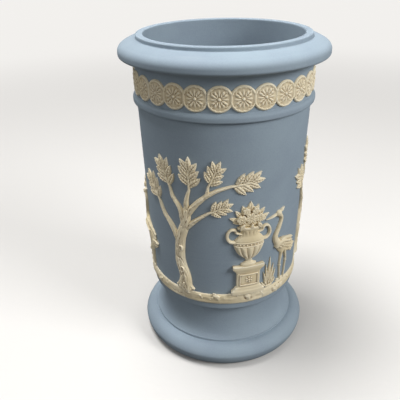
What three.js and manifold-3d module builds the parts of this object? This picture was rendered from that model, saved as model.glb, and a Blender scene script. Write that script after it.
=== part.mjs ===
// Jasperware vase: a turned blue body luted on to a hollow spreading foot, and dressed with
// white moulded reliefs. Millimetres, +Z up, origin in the middle of the sole, front towards -Y.
// The reliefs are drawn flat, as (across, up, out), and then laid round the wall.

import * as THREE from 'three';
import Module from 'manifold-3d';

const wasm = await Module();
wasm.setup();

// Heights, one on top of the other: 165 mm in all
const FOOT_HEIGHT = 34;
const LEDGE_ROUND = 1.5;
const BODY_WALL_HEIGHT = 99.1;
const RING_HEIGHT = 4.1;
const BORDER_MARGIN_BELOW = 0.4;
const ROSETTE_RADIUS = 5.7;
const BORDER_MARGIN_ABOVE = 2.5;
const RIM_UNDER_HEIGHT = 5.5;
const RIM_OVER_HEIGHT = 4.85;
const LIP_HEIGHT = 1.65;

// Radii and thicknesses of the turned body
const BODY_TOP_RADIUS = 41.7;
const BODY_TAPER = 2.8;
const BODY_WALL = 4.7;
const FLOOR_THICKNESS = 5;
const FLOOR_ROUND = 6;
const RING_PROJECTION = 1.8;
const RIM_PROJECTION = 7.3;
const LIP_WIDTH = 3.5;

// Foot
const LEDGE_OVERHANG = 2.5;
const WAIST_INSET = 2.4;
const FOOT_SPREAD = 6.8;
const TORUS_HEIGHT = 12.7;
const TORUS_PROJECTION = 6.8;
const STEP_WIDTH = 0.5;
const SOLE_ROUNDING = 5.5;
const SOLE_WIDTH = 3.9;
const FOOT_WALL = 4.7;

// Reliefs
const BEDDING = 0.3;
const SPRIG_GAP = 0.3;
const BORDER_STRIPS = 9;
const ROSETTES_PER_STRIP = 3;
const ROSETTE_THICKNESS = 0.9;
const BORDER_WEB = 5;
const BORDER_TURN = THREE.MathUtils.degToRad(-9.1);
const GROUND_OFFSET = 2.8;
const GROUND_HEIGHT = 6.5;
const GROUND_THICKNESS = 1.3;
const GROUND_STRIPS = 6;
const PLAIN_BAND = 15.3;
const SCENE_REPEATS = 3;

// The flat drawing of one scene fills a grid of this many squares, which the wall stretches
const DRAWING_GRID = { across: 87.34, up: 74.5 };

const LATHE_SEGMENTS = 48;
const TURN = 2 * Math.PI;

// Levels and radii that follow from the sizes above
const wallBase = FOOT_HEIGHT + LEDGE_ROUND;
const wallTop = wallBase + BODY_WALL_HEIGHT;
const ringTop = wallTop + RING_HEIGHT;
const borderMiddle = ringTop + BORDER_MARGIN_BELOW + ROSETTE_RADIUS;
const neckTop = borderMiddle + ROSETTE_RADIUS + BORDER_MARGIN_ABOVE;
const rimCrest = neckTop + RIM_UNDER_HEIGHT;
const groove = rimCrest + RIM_OVER_HEIGHT;
const mouth = groove + LIP_HEIGHT;
const floorTop = FOOT_HEIGHT + FLOOR_THICKNESS;
const groundBase = wallBase + GROUND_OFFSET;
const groundTop = groundBase + GROUND_HEIGHT;
const bodyBaseRadius = BODY_TOP_RADIUS - BODY_TAPER;
const mouthRadius = BODY_TOP_RADIUS - BODY_WALL;
const rimRadius = BODY_TOP_RADIUS + RIM_PROJECTION;
const footTopRadius = bodyBaseRadius - LEDGE_OVERHANG;
const waistRadius = footTopRadius - WAIST_INSET;
const footRadius = bodyBaseRadius + FOOT_SPREAD;
const stepRadius = footRadius - TORUS_PROJECTION;
const soleRadius = footRadius - SOLE_ROUNDING;

const blueClay = { color: 0x909fb9, roughness: 0.75, metalness: 0 };
const whiteClay = { color: 0xe2d6bb, roughness: 0.7, metalness: 0 };
const vase = new THREE.Group();

// Outer radius of the wall at a height: the body tapers, and the neck is straight
function wallRadius(z) {
  return bodyBaseRadius + BODY_TAPER * THREE.MathUtils.clamp((z - wallBase) / BODY_WALL_HEIGHT, 0, 1);
}

function addPiece(name, geometry, clay) {
  const mesh = new THREE.Mesh(geometry, new THREE.MeshStandardMaterial(clay));
  mesh.name = name;
  vase.add(mesh);
}

// Turns an outline of (radius, height) round the vertical axis
function turned(outline, roundSteps) {
  const points = outline.getPoints(roundSteps);
  return new THREE.LatheGeometry(points, LATHE_SEGMENTS).rotateX(Math.PI / 2);
}

function bodyOutline() {
  const outline = new THREE.Path();
  const ringRadius = BODY_TOP_RADIUS + RING_PROJECTION;
  const innerBase = bodyBaseRadius - BODY_WALL;
  const lipCrest = mouthRadius + LIP_WIDTH / 2;
  outline.moveTo(0, FOOT_HEIGHT);
  outline.lineTo(bodyBaseRadius - LEDGE_ROUND, FOOT_HEIGHT);
  outline.quadraticCurveTo(bodyBaseRadius, FOOT_HEIGHT, bodyBaseRadius, wallBase);
  outline.lineTo(BODY_TOP_RADIUS, wallTop);
  outline.quadraticCurveTo(ringRadius, wallTop, ringRadius, wallTop + RING_HEIGHT / 2);
  outline.quadraticCurveTo(ringRadius, ringTop - RING_HEIGHT / 6, BODY_TOP_RADIUS, ringTop);
  outline.lineTo(BODY_TOP_RADIUS, neckTop);
  outline.bezierCurveTo(
    BODY_TOP_RADIUS + RIM_PROJECTION / 2, neckTop + RIM_UNDER_HEIGHT / 5,
    rimRadius, neckTop + RIM_UNDER_HEIGHT / 3,
    rimRadius, rimCrest,
  );
  outline.bezierCurveTo(
    rimRadius, rimCrest + RIM_OVER_HEIGHT / 2,
    mouthRadius + LIP_WIDTH + RIM_PROJECTION / 2, groove,
    mouthRadius + LIP_WIDTH, groove,
  );
  outline.quadraticCurveTo(mouthRadius + LIP_WIDTH, mouth, lipCrest, mouth);
  outline.quadraticCurveTo(mouthRadius, mouth, mouthRadius, groove);
  outline.lineTo(mouthRadius, wallTop);
  outline.lineTo(innerBase, floorTop + FLOOR_ROUND);
  outline.quadraticCurveTo(innerBase, floorTop, innerBase - FLOOR_ROUND, floorTop);
  outline.lineTo(0, floorTop);
  return outline;
}

function footOutline() {
  const outline = new THREE.Path();
  const boreTop = waistRadius - FOOT_WALL;
  const boreBase = soleRadius - SOLE_WIDTH;
  const flareHeight = FOOT_HEIGHT - TORUS_HEIGHT;
  const waistHeight = TORUS_HEIGHT + flareHeight * 0.74;
  const crestHeight = TORUS_HEIGHT * 0.57;
  outline.moveTo(boreBase, 0);
  outline.lineTo(soleRadius, 0);
  outline.bezierCurveTo(
    soleRadius + SOLE_ROUNDING * 0.67, 0,
    footRadius, crestHeight * 0.6,
    footRadius, crestHeight,
  );
  outline.bezierCurveTo(
    footRadius - TORUS_PROJECTION * 0.16, TORUS_HEIGHT * 0.86,
    stepRadius + TORUS_PROJECTION * 0.34, TORUS_HEIGHT,
    stepRadius, TORUS_HEIGHT,
  );
  outline.lineTo(stepRadius - STEP_WIDTH, TORUS_HEIGHT + STEP_WIDTH);
  outline.bezierCurveTo(
    waistRadius + STEP_WIDTH, TORUS_HEIGHT + flareHeight * 0.2,
    waistRadius, TORUS_HEIGHT + flareHeight * 0.5,
    waistRadius, waistHeight,
  );
  outline.quadraticCurveTo(waistRadius, FOOT_HEIGHT, footTopRadius, FOOT_HEIGHT);
  outline.lineTo(boreTop, FOOT_HEIGHT);
  outline.lineTo(boreTop, waistHeight);
  outline.quadraticCurveTo(boreTop, TORUS_HEIGHT, boreBase, 0);
  return outline;
}

// Skins a row of rings of points. A ring of one point closes an end to a tip.
function loft(rings) {
  const starts = [];
  let count = 0;
  for (const ring of rings) {
    starts.push(count);
    count += ring.length;
  }
  const triangles = [];
  for (let k = 0; k + 1 < rings.length; k += 1) {
    const sides = Math.max(rings[k].length, rings[k + 1].length);
    for (let side = 0; side < sides; side += 1) {
      const next = (side + 1) % sides;
      const [a, b] = [side, next].map((i) => starts[k] + (i % rings[k].length));
      const [c, d] = [side, next].map((i) => starts[k + 1] + (i % rings[k + 1].length));
      if (a !== b) triangles.push(a, b, d);
      if (c !== d) triangles.push(a, d, c);
    }
  }
  const last = starts.at(-1);
  for (let i = 1; i + 1 < rings[0].length; i += 1) triangles.push(0, i + 1, i);
  for (let i = 1; i + 1 < rings.at(-1).length; i += 1) triangles.push(last, last + i, last + i + 1);
  return { points: rings.flat(), triangles };
}

// Lays a flat relief on the wall, turned to face an angle from the front towards +X
function wrap(relief, facing) {
  return relief.points.flatMap(([across, up, out]) => {
    const angle = facing + across / BODY_TOP_RADIUS;
    const radius = wallRadius(up) + BEDDING + out;
    return [radius * Math.sin(angle), -radius * Math.cos(angle), up];
  });
}

// Joins the parts of one relief, laid on the wall, into one body with its faces outwards
function sprig(reliefs, facing) {
  let whole = null;
  for (const relief of reliefs) {
    const vertProperties = new Float32Array(wrap(relief, facing));
    const triVerts = new Uint32Array(relief.triangles);
    const part = new wasm.Manifold(new wasm.Mesh({ numProp: 3, vertProperties, triVerts }));
    whole = whole ? whole.add(part) : part;
  }
  const { vertProperties, triVerts } = whole.getMesh();
  const geometry = new THREE.BufferGeometry();
  geometry.setAttribute('position', new THREE.BufferAttribute(vertProperties, 3));
  geometry.setIndex(new THREE.BufferAttribute(triVerts, 1));
  return geometry;
}

// Sections of a relief, as (share of the half width, share of the height), back edge first.
// Wide sections have extra points behind, so that their backs bend with the wall.
const RIDGE = [[1, 0], [0, 1], [-1, 0]];
const ROUND = [[1, 0], [0.6, 0.8], [-0.6, 0.8], [-1, 0]];
const BROAD = [
  [0.5, 0], [1, 0], [0.7, 0.7], [0.25, 1], [-0.25, 1], [-0.7, 0.7], [-1, 0], [-0.5, 0], [0, 0],
];
const SLAB = [
  [0.5, 0], [1, 0], [1, 1], [0.4, 1], [-0.4, 1], [-1, 1], [-1, 0], [-0.5, 0], [0, 0],
];

function sectionAt([across, up], along, halfWidth, height, section, base) {
  return section.map(([side, out]) => [
    across - along.y * side * halfWidth,
    up + along.x * side * halfWidth,
    base + out * (height - base),
  ]);
}

// Reads a list of values spread evenly along a stroke
function valueAt(values, t) {
  const place = t * (values.length - 1);
  const k = Math.min(Math.floor(place), values.length - 2);
  return THREE.MathUtils.lerp(values[k], values[k + 1], place - k);
}

// A raised stroke along a smooth line through the points, with half widths and heights along it
function stroke(points, halfWidths, heights, { section = ROUND, steps = 6, base = 0 } = {}) {
  const line = new THREE.SplineCurve(points.map(([across, up]) => new THREE.Vector2(across, up)));
  const rings = [];
  for (let k = 0; k <= steps; k += 1) {
    const t = k / steps;
    const place = line.getPoint(t);
    const ring = sectionAt(place.toArray(), line.getTangent(t), valueAt(halfWidths, t), valueAt(heights, t),
      section, base);
    rings.push(ring);
  }
  return loft(rings);
}

// A pointed leaf or feather with a ridge down its middle
function leaf([across, up], degrees, length, halfWidth, height, base = 0.1) {
  const angle = THREE.MathUtils.degToRad(degrees);
  const along = new THREE.Vector2(Math.cos(angle), Math.sin(angle));
  const at = (share) => [across + along.x * length * share, up + along.y * length * share];
  return loft([
    [[...at(0), base]],
    sectionAt(at(0.42), along, halfWidth, height, RIDGE, base),
    [[...at(1), base]],
  ]);
}

// A low round boss
function boss([across, up], radius, height, base = 0.05) {
  const sides = 6;
  const ring = (share, out) => Array.from({ length: sides }, (_, k) => {
    const angle = TURN * (k / sides);
    return [across + radius * share * Math.cos(angle), up + radius * share * Math.sin(angle), out];
  });
  return loft([ring(1, base), ring(0.75, height * 0.8), [[across, up, height]]]);
}

// An upright form with a level section at each (height, half width, relief)
function upright(across, levels, section) {
  const up = new THREE.Vector2(0, 1);
  return loft(levels.map(([z, halfWidth, height]) => (
    sectionAt([across, z], up, halfWidth, height, section, 0)
  )));
}

// Three round rosettes in a row on one strip, each half height following its circle
function borderStrip() {
  const pitch = (TURN * BODY_TOP_RADIUS) / (BORDER_STRIPS * ROSETTES_PER_STRIP);
  const stepsEach = 6;
  const steps = stepsEach * ROSETTES_PER_STRIP;
  const length = pitch * ROSETTES_PER_STRIP - SPRIG_GAP;
  const along = new THREE.Vector2(1, 0);
  const rings = [];
  for (let k = 0; k <= steps; k += 1) {
    const across = length * (k / steps - 0.5);
    const fromCentre = Math.abs(((k % stepsEach) / stepsEach - 0.5) * pitch);
    const circle = Math.sqrt(Math.max(ROSETTE_RADIUS ** 2 - fromCentre ** 2, 0));
    const halfHeight = Math.max(circle, BORDER_WEB / 2);
    rings.push(sectionAt([across, borderMiddle], along, halfHeight, ROSETTE_THICKNESS, ROUND, 0));
  }
  return loft(rings);
}

// One length of the uneven ground that the scenes stand on
function groundStrip(number) {
  const length = (TURN * BODY_TOP_RADIUS) / GROUND_STRIPS - SPRIG_GAP;
  const steps = 12;
  const rings = [];
  for (let k = 0; k <= steps; k += 1) {
    const across = length * (k / steps - 0.5);
    const dip = GROUND_HEIGHT * 0.05 * (1 + Math.sin(k * 2.1 + number * 1.7));
    const top = groundTop - dip;
    rings.push([
      [across, groundBase, 0],
      [across, top, 0],
      [across, top - GROUND_HEIGHT * 0.2, GROUND_THICKNESS],
      [across, groundBase + GROUND_HEIGHT * 0.1, GROUND_THICKNESS * 0.8],
    ]);
  }
  return loft(rings);
}

// Scale of the scene's drawing on this wall
const sceneHeight = BODY_WALL_HEIGHT - GROUND_OFFSET - GROUND_HEIGHT - PLAIN_BAND;
const scaleAcross = (TURN * BODY_TOP_RADIUS) / SCENE_REPEATS / DRAWING_GRID.across;
const scaleUp = sceneHeight / DRAWING_GRID.up;
const scaleWidth = Math.min(scaleAcross, scaleUp);

// Brings a relief from the drawing, which has its ground at height 0, to its place on the wall
function placed(relief) {
  const points = relief.points.map(([across, up, out]) => [
    across * scaleAcross,
    groundTop + up * scaleUp,
    out * scaleWidth,
  ]);
  return { points, triangles: relief.triangles };
}

// Trunk and boughs of the laurel tree
function tree() {
  return [
    stroke([[-21, 0.5], [-20.6, 8], [-23, 18], [-22, 30], [-18.8, 39.5], [-17.6, 47]],
      [4.8, 3.4, 3, 2.8, 2.5, 2], [2.6, 2.4, 2.2, 2.2, 2, 1.8], { section: BROAD, steps: 8 }),
    stroke([[-22.2, 27], [-27, 36], [-31.5, 41], [-34.5, 47]], [2, 1.4, 1.1, 0.8], [1.9, 1.2],
      { steps: 5, base: 0.1 }),
    stroke([[-19.4, 38], [-21.5, 47], [-25.2, 52], [-26.5, 56.5]], [1.9, 1.3, 1, 0.8], [1.8, 1.2],
      { steps: 5, base: 0.1 }),
    stroke([[-17.8, 45], [-17.6, 52], [-16, 57.5]], [1.8, 1.2, 0.8], [1.7, 1.2], { steps: 3, base: 0.1 }),
    stroke([[-18, 44], [-11, 52.5], [-3.5, 58], [3.5, 60.5]], [1.9, 1.3, 1, 0.8], [1.8, 1.2],
      { steps: 5, base: 0.15 }),
    stroke([[-11.5, 51.5], [-8, 55.5], [-6.8, 60]], [1.2, 0.9, 0.7], [1.5, 1.2], { steps: 3, base: 0.1 }),
    stroke([[-19.4, 36], [-13, 42], [-7, 46.5]], [1.7, 1.1, 0.8], [1.7, 1.2], { steps: 3, base: 0.1 }),
  ];
}

// A twig with pairs of laurel leaves and one at its end, starting just past the bough's end
function laurelSpray([across, up], degrees, size) {
  const angle = THREE.MathUtils.degToRad(degrees);
  const along = new THREE.Vector2(Math.cos(angle), Math.sin(angle));
  const start = 0.5;
  const twig = 10 * size;
  const at = (share) => {
    const far = start + twig * share;
    return [across + along.x * far, up + along.y * far];
  };
  const parts = [stroke([at(0), at(1)], [0.6, 0.45], [1.1, 0.9], { section: RIDGE, steps: 3 })];
  for (const [share, spread] of [[0.16, 50], [0.48, 44], [0.8, 36]]) {
    for (const side of [-1, 1]) {
      parts.push(leaf(at(share + side * 0.05), degrees + side * spread, 7.2 * size, 1.55, 1.2));
    }
  }
  parts.push(leaf(at(0.95), degrees, 6.2 * size, 1.5, 1.3));
  return parts;
}

const SPRAYS = {
  low_left: { from: [-34.5, 47], degrees: 125, size: 1 },
  high_left: { from: [-26.5, 56.5], degrees: 112, size: 1 },
  top: { from: [-16, 57.5], degrees: 90, size: 1 },
  middle: { from: [-6.8, 60], degrees: 66, size: 0.85 },
  right: { from: [3.5, 60.5], degrees: 8, size: 1 },
  low_right: { from: [-7, 46.5], degrees: 24, size: 0.78 },
};

const URN_ACROSS = 13;

// Moulded pedestal: base slab, step, die, cornice and cap
function plinth() {
  const levels = [
    [0.4, 8.8, 2.5], [2.4, 8.8, 2.5], [2.6, 7.5, 2.2], [4, 7.2, 2.2], [4.8, 6.2, 1.8],
    [13.2, 6.2, 1.8], [14.6, 7.3, 2.2], [15.6, 8.2, 2.5], [17.1, 8.2, 2.5],
  ];
  return [upright(URN_ACROSS, levels, SLAB)];
}

// Urn in half relief, with two scrolled handles
function urn() {
  const levels = [
    [17.5, 4.2, 2], [18.5, 4, 2], [19.6, 1.7, 1.4], [20.8, 1.4, 1.4], [22, 3.6, 2.2], [25, 6.4, 2.8],
    [29, 7.9, 3.2], [32, 7.6, 3], [34.6, 4.9, 2.4], [36.6, 4.3, 2.2], [38.5, 6.1, 2.6], [39.4, 6.3, 2.6],
  ];
  const handles = [-1, 1].map((side) => {
    const route = [[7.1, 31], [10.2, 31.9], [11, 35], [9.2, 37.8], [7.1, 37.2], [4.1, 35.8]];
    const points = route.map(([out, up]) => [URN_ACROSS + side * out, up]);
    return stroke(points, [0.9, 0.75, 0.7], [1.5, 1.3], { section: RIDGE, steps: 7, base: 0.1 });
  });
  return [upright(URN_ACROSS, levels, BROAD), ...handles];
}

// Leaves and flowers standing in the urn's mouth
function bouquet() {
  const leaves = [[-3.4, 158, 7], [-2, 128, 8], [0, 90, 10.5], [2, 52, 8], [3.4, 22, 7]];
  const flowers = [[-4.6, 43.3, 2.3], [0, 43.8, 2.6], [4.6, 43.3, 2.3], [-2.5, 46.8, 2], [2.5, 46.8, 2]];
  const parts = [stroke([[8.4, 41.2], [17.6, 41.2]], [1.2, 1.2], [1.6, 1.6], { steps: 3 })];
  for (const [out, degrees, length] of leaves) {
    parts.push(leaf([URN_ACROSS + out, 41.6], degrees, length, 1.5, 1.3));
  }
  for (const [out, up, radius] of flowers) {
    parts.push(boss([URN_ACROSS + out, up], radius, 1.9));
  }
  return parts;
}

const CRANE_ACROSS = 36.5;

// Wading bird facing the urn
function crane() {
  const at = (points) => points.map(([across, up]) => [CRANE_ACROSS + across, up]);
  const body = stroke(at([[6.5, 16.6], [2, 19.6], [-2.5, 22], [-6.4, 24.2]]),
    [0.9, 3.6, 4.2, 2], [1, 2.2, 2.4, 1.6], { section: BROAD, steps: 5 });
  const neck = stroke(at([[-5.4, 23.6], [-8.4, 28.6], [-6.4, 34], [-5, 38.6], [-7, 41.6]]),
    [2.4, 1.5, 1.1, 1, 1.2], [1.9, 1.4], { steps: 7, base: 0.1 });
  const legs = [
    stroke(at([[-2.6, 19.5], [-3.4, 10], [-2.4, 0.6]]), [1, 0.6, 0.6], [1.4, 1.1],
      { section: RIDGE, steps: 2, base: 0.1 }),
    stroke(at([[-0.4, 19], [1.6, 11], [0.8, 0.6]]), [1, 0.6, 0.6], [1.4, 1.1],
      { section: RIDGE, steps: 2, base: 0.1 }),
  ];
  const toes = at([[-1.8, 1], [1.4, 1]]).map((heel) => leaf(heel, 180, 3.5, 0.55, 0.9));
  const plumes = [[-4, 8.5], [-20, 8], [-38, 7]].map(([degrees, length]) => (
    leaf([CRANE_ACROSS + 1.6, 18.6], degrees, length, 1.5, 1.8)
  ));
  const wing = leaf([CRANE_ACROSS - 6, 25], -26, 15.5, 3.5, 3.7, 1);
  const head = boss([CRANE_ACROSS - 7.2, 41.8], 1.8, 1.8);
  const beak = leaf([CRANE_ACROSS - 7.8, 41.8], 190, 7.4, 0.8, 1.1);
  const crest = leaf([CRANE_ACROSS - 7, 42.6], 24, 4, 0.7, 1.2);
  return [body, neck, ...legs, ...toes, ...plumes, wing, head, beak, crest];
}

// Blades of rush between the urn and the bird
function rushes() {
  const blades = [[-2, 104, 10], [-1, 97, 14], [0, 89, 17.5], [1, 80, 13], [2, 70, 9.5]];
  const parts = blades.map(([out, degrees, length]) => (
    leaf([25.6 + out * 0.6, 0.8], degrees, length, 0.85, 1.1)
  ));
  parts.push(stroke([[23.6, 1.1], [27.6, 1.1]], [0.7, 0.7], [1, 1], { section: RIDGE, steps: 2 }));
  return parts;
}

addPiece('vase_body', turned(bodyOutline(), 4), blueClay);
addPiece('foot', turned(footOutline(), 4), blueClay);

for (let k = 0; k < BORDER_STRIPS; k += 1) {
  const facing = BORDER_TURN + TURN * ((k + 0.5) / BORDER_STRIPS);
  addPiece(`border_strip_${k + 1}`, sprig([borderStrip()], facing), whiteClay);
}

for (let k = 0; k < GROUND_STRIPS; k += 1) {
  const facing = TURN * (k / GROUND_STRIPS);
  addPiece(`ground_strip_${k + 1}`, sprig([groundStrip(k)], facing), whiteClay);
}

const motifs = {
  tree: tree(),
  plinth: plinth(),
  urn: urn(),
  bouquet: bouquet(),
  crane: crane(),
  rushes: rushes(),
};
for (const [place, { from, degrees, size }] of Object.entries(SPRAYS)) {
  motifs[`spray_${place}`] = laurelSpray(from, degrees, size);
}
for (let repeat = 0; repeat < SCENE_REPEATS; repeat += 1) {
  const facing = TURN * (repeat / SCENE_REPEATS);
  for (const [motif, reliefs] of Object.entries(motifs)) {
    addPiece(`${motif}_${repeat + 1}`, sprig(reliefs.map(placed), facing), whiteClay);
  }
}

export default vase;
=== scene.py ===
"""Jasperware vase: a turned blue body on a hollow foot, dressed with white pressed reliefs.

Every relief is modelled flat, in millimetres, as (across, up, out). Its forms are fused and
softened as clay is in a mould, and the sprig is then bent round the wall, in metres.
"""

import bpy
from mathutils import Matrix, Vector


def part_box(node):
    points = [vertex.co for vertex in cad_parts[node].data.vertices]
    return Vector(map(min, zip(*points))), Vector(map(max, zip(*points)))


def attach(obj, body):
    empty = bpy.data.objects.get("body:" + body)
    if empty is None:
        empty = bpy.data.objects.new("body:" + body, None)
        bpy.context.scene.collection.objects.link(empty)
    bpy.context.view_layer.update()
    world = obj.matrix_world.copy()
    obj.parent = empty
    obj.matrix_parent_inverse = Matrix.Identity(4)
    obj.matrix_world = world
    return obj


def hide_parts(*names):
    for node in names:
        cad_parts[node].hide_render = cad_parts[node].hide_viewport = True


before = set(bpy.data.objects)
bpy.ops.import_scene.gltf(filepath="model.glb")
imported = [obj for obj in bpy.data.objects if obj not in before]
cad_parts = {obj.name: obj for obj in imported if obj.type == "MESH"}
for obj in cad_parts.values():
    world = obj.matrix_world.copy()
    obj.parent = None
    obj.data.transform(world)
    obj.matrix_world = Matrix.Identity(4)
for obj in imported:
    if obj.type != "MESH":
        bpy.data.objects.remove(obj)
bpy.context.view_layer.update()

import logging
import math
from dataclasses import asdict, dataclass, replace
from enum import Enum
from types import SimpleNamespace
from typing import Sequence

import bmesh
import bpy
import numpy as np
from mathutils import Matrix, Vector

MM = 0.001
TURN = 2 * math.pi
BODY = "root"
log = logging.getLogger("vase")

Pair = tuple[float, float]
Triple = tuple[float, float, float]
Colour = tuple[int, int, int]
Mesh = bpy.types.Mesh
Socket = bpy.types.NodeSocket


class Field:
    """A number in a node tree, which takes the usual signs of arithmetic."""

    def __init__(self, sketch: "NodeSketch", socket: Socket) -> None:
        """Keeps the output that gives the number, and the tree that it is in."""
        self.sketch = sketch
        self.socket = socket

    def __add__(self, other: "Value") -> "Field":
        """The sum."""
        return self.sketch.maths("ADD", self, other)

    def __sub__(self, other: "Value") -> "Field":
        """The difference."""
        return self.sketch.maths("SUBTRACT", self, other)

    def __rsub__(self, other: "Value") -> "Field":
        """The difference from another number."""
        return self.sketch.maths("SUBTRACT", other, self)

    def __mul__(self, other: "Value") -> "Field":
        """The product."""
        return self.sketch.maths("MULTIPLY", self, other)

    def __truediv__(self, other: "Value") -> "Field":
        """The quotient."""
        return self.sketch.maths("DIVIDE", self, other)

    def __rtruediv__(self, other: "Value") -> "Field":
        """Another number's quotient by this one."""
        return self.sketch.maths("DIVIDE", other, self)

    def __pow__(self, other: "Value") -> "Field":
        """The power."""
        return self.sketch.maths("POWER", self, other)

    def __abs__(self) -> "Field":
        """The size without its sign."""
        return self.sketch.maths("ABSOLUTE", self)

    __radd__ = __add__
    __rmul__ = __mul__


Value = Field | Socket | float | int | str | bool | tuple
Inputs = dict[str | int, Value]


@dataclass(frozen=True)
class Noise:
    """Smooth noise: how many lumps to a unit of length, how many finer layers, and their strength."""

    scale: float
    detail: float = 2.0
    roughness: float = 0.5


class NodeSketch:
    """Writes a node tree, for shapes or for shaders, in few words."""

    def __init__(self, tree: bpy.types.NodeTree) -> None:
        """Starts on a tree."""
        self.tree = tree

    @staticmethod
    def pick(sockets: Sequence[Socket], key: str | int) -> Socket:
        """Finds a socket among those in use.

        Args:
            sockets: A node's inputs or outputs.
            key: The socket's name, or its place in the list.

        Returns:
            The socket.
        """
        shown = [socket for socket in sockets if socket.enabled]
        if isinstance(key, int):
            return shown[key]
        return next(socket for socket in shown if socket.name == key)

    def add(self, kind: str, inputs: Inputs | None = None, **settings: object) -> bpy.types.Node:
        """Adds a node.

        Args:
            kind: The node's type.
            inputs: What goes into its sockets, by name or place.
            settings: Its properties.

        Returns:
            The node.
        """
        node = self.tree.nodes.new(kind)
        for name, value in settings.items():
            setattr(node, name, value)
        for key, value in (inputs or {}).items():
            self.feed(self.pick(node.inputs, key), value)
        return node

    def feed(self, socket: Socket, value: Value) -> None:
        """Links a value to a socket, or sets it there.

        Args:
            socket: The input.
            value: What goes into it.
        """
        if isinstance(value, Field):
            value = value.socket
        if isinstance(value, Socket):
            self.tree.links.new(value, socket)
        else:
            socket.default_value = value

    def out(self, node: bpy.types.Node, key: str | int = 0) -> Field:
        """One of a node's outputs, as a number."""
        return Field(self, self.pick(node.outputs, key))

    def gives(self, kind: str, inputs: Inputs | None = None, **settings: object) -> Field:
        """The first output of a new node."""
        return self.out(self.add(kind, inputs, **settings))

    def maths(self, operation: str, *values: Value) -> Field:
        """The result of a Math node."""
        return self.gives("ShaderNodeMath", dict(enumerate(values)), operation=operation)

    def split(self, vector: Value) -> list[Field]:
        """The three parts of a vector."""
        node = self.add("ShaderNodeSeparateXYZ", {0: vector})
        return [self.out(node, k) for k in range(3)]

    def vector(self, x: Value = 0.0, y: Value = 0.0, z: Value = 0.0) -> Field:
        """A vector of three numbers."""
        return self.gives("ShaderNodeCombineXYZ", {0: x, 1: y, 2: z})

    def ramp(self, value: Value, start: float, end: float) -> Field:
        """A smooth step from 0 to 1 as the value goes from start to end."""
        inputs = {"Value": value, "From Min": start, "From Max": end}
        return self.gives("ShaderNodeMapRange", inputs, interpolation_type="SMOOTHSTEP")

    def noise(self, place: Value, kind: Noise) -> Field:
        """Smooth noise at a place, from -0.5 to 0.5."""
        inputs = {"Vector": place, "Scale": kind.scale, "Detail": kind.detail, "Roughness": kind.roughness}
        return self.gives("ShaderNodeTexNoise", inputs) - 0.5


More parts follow.
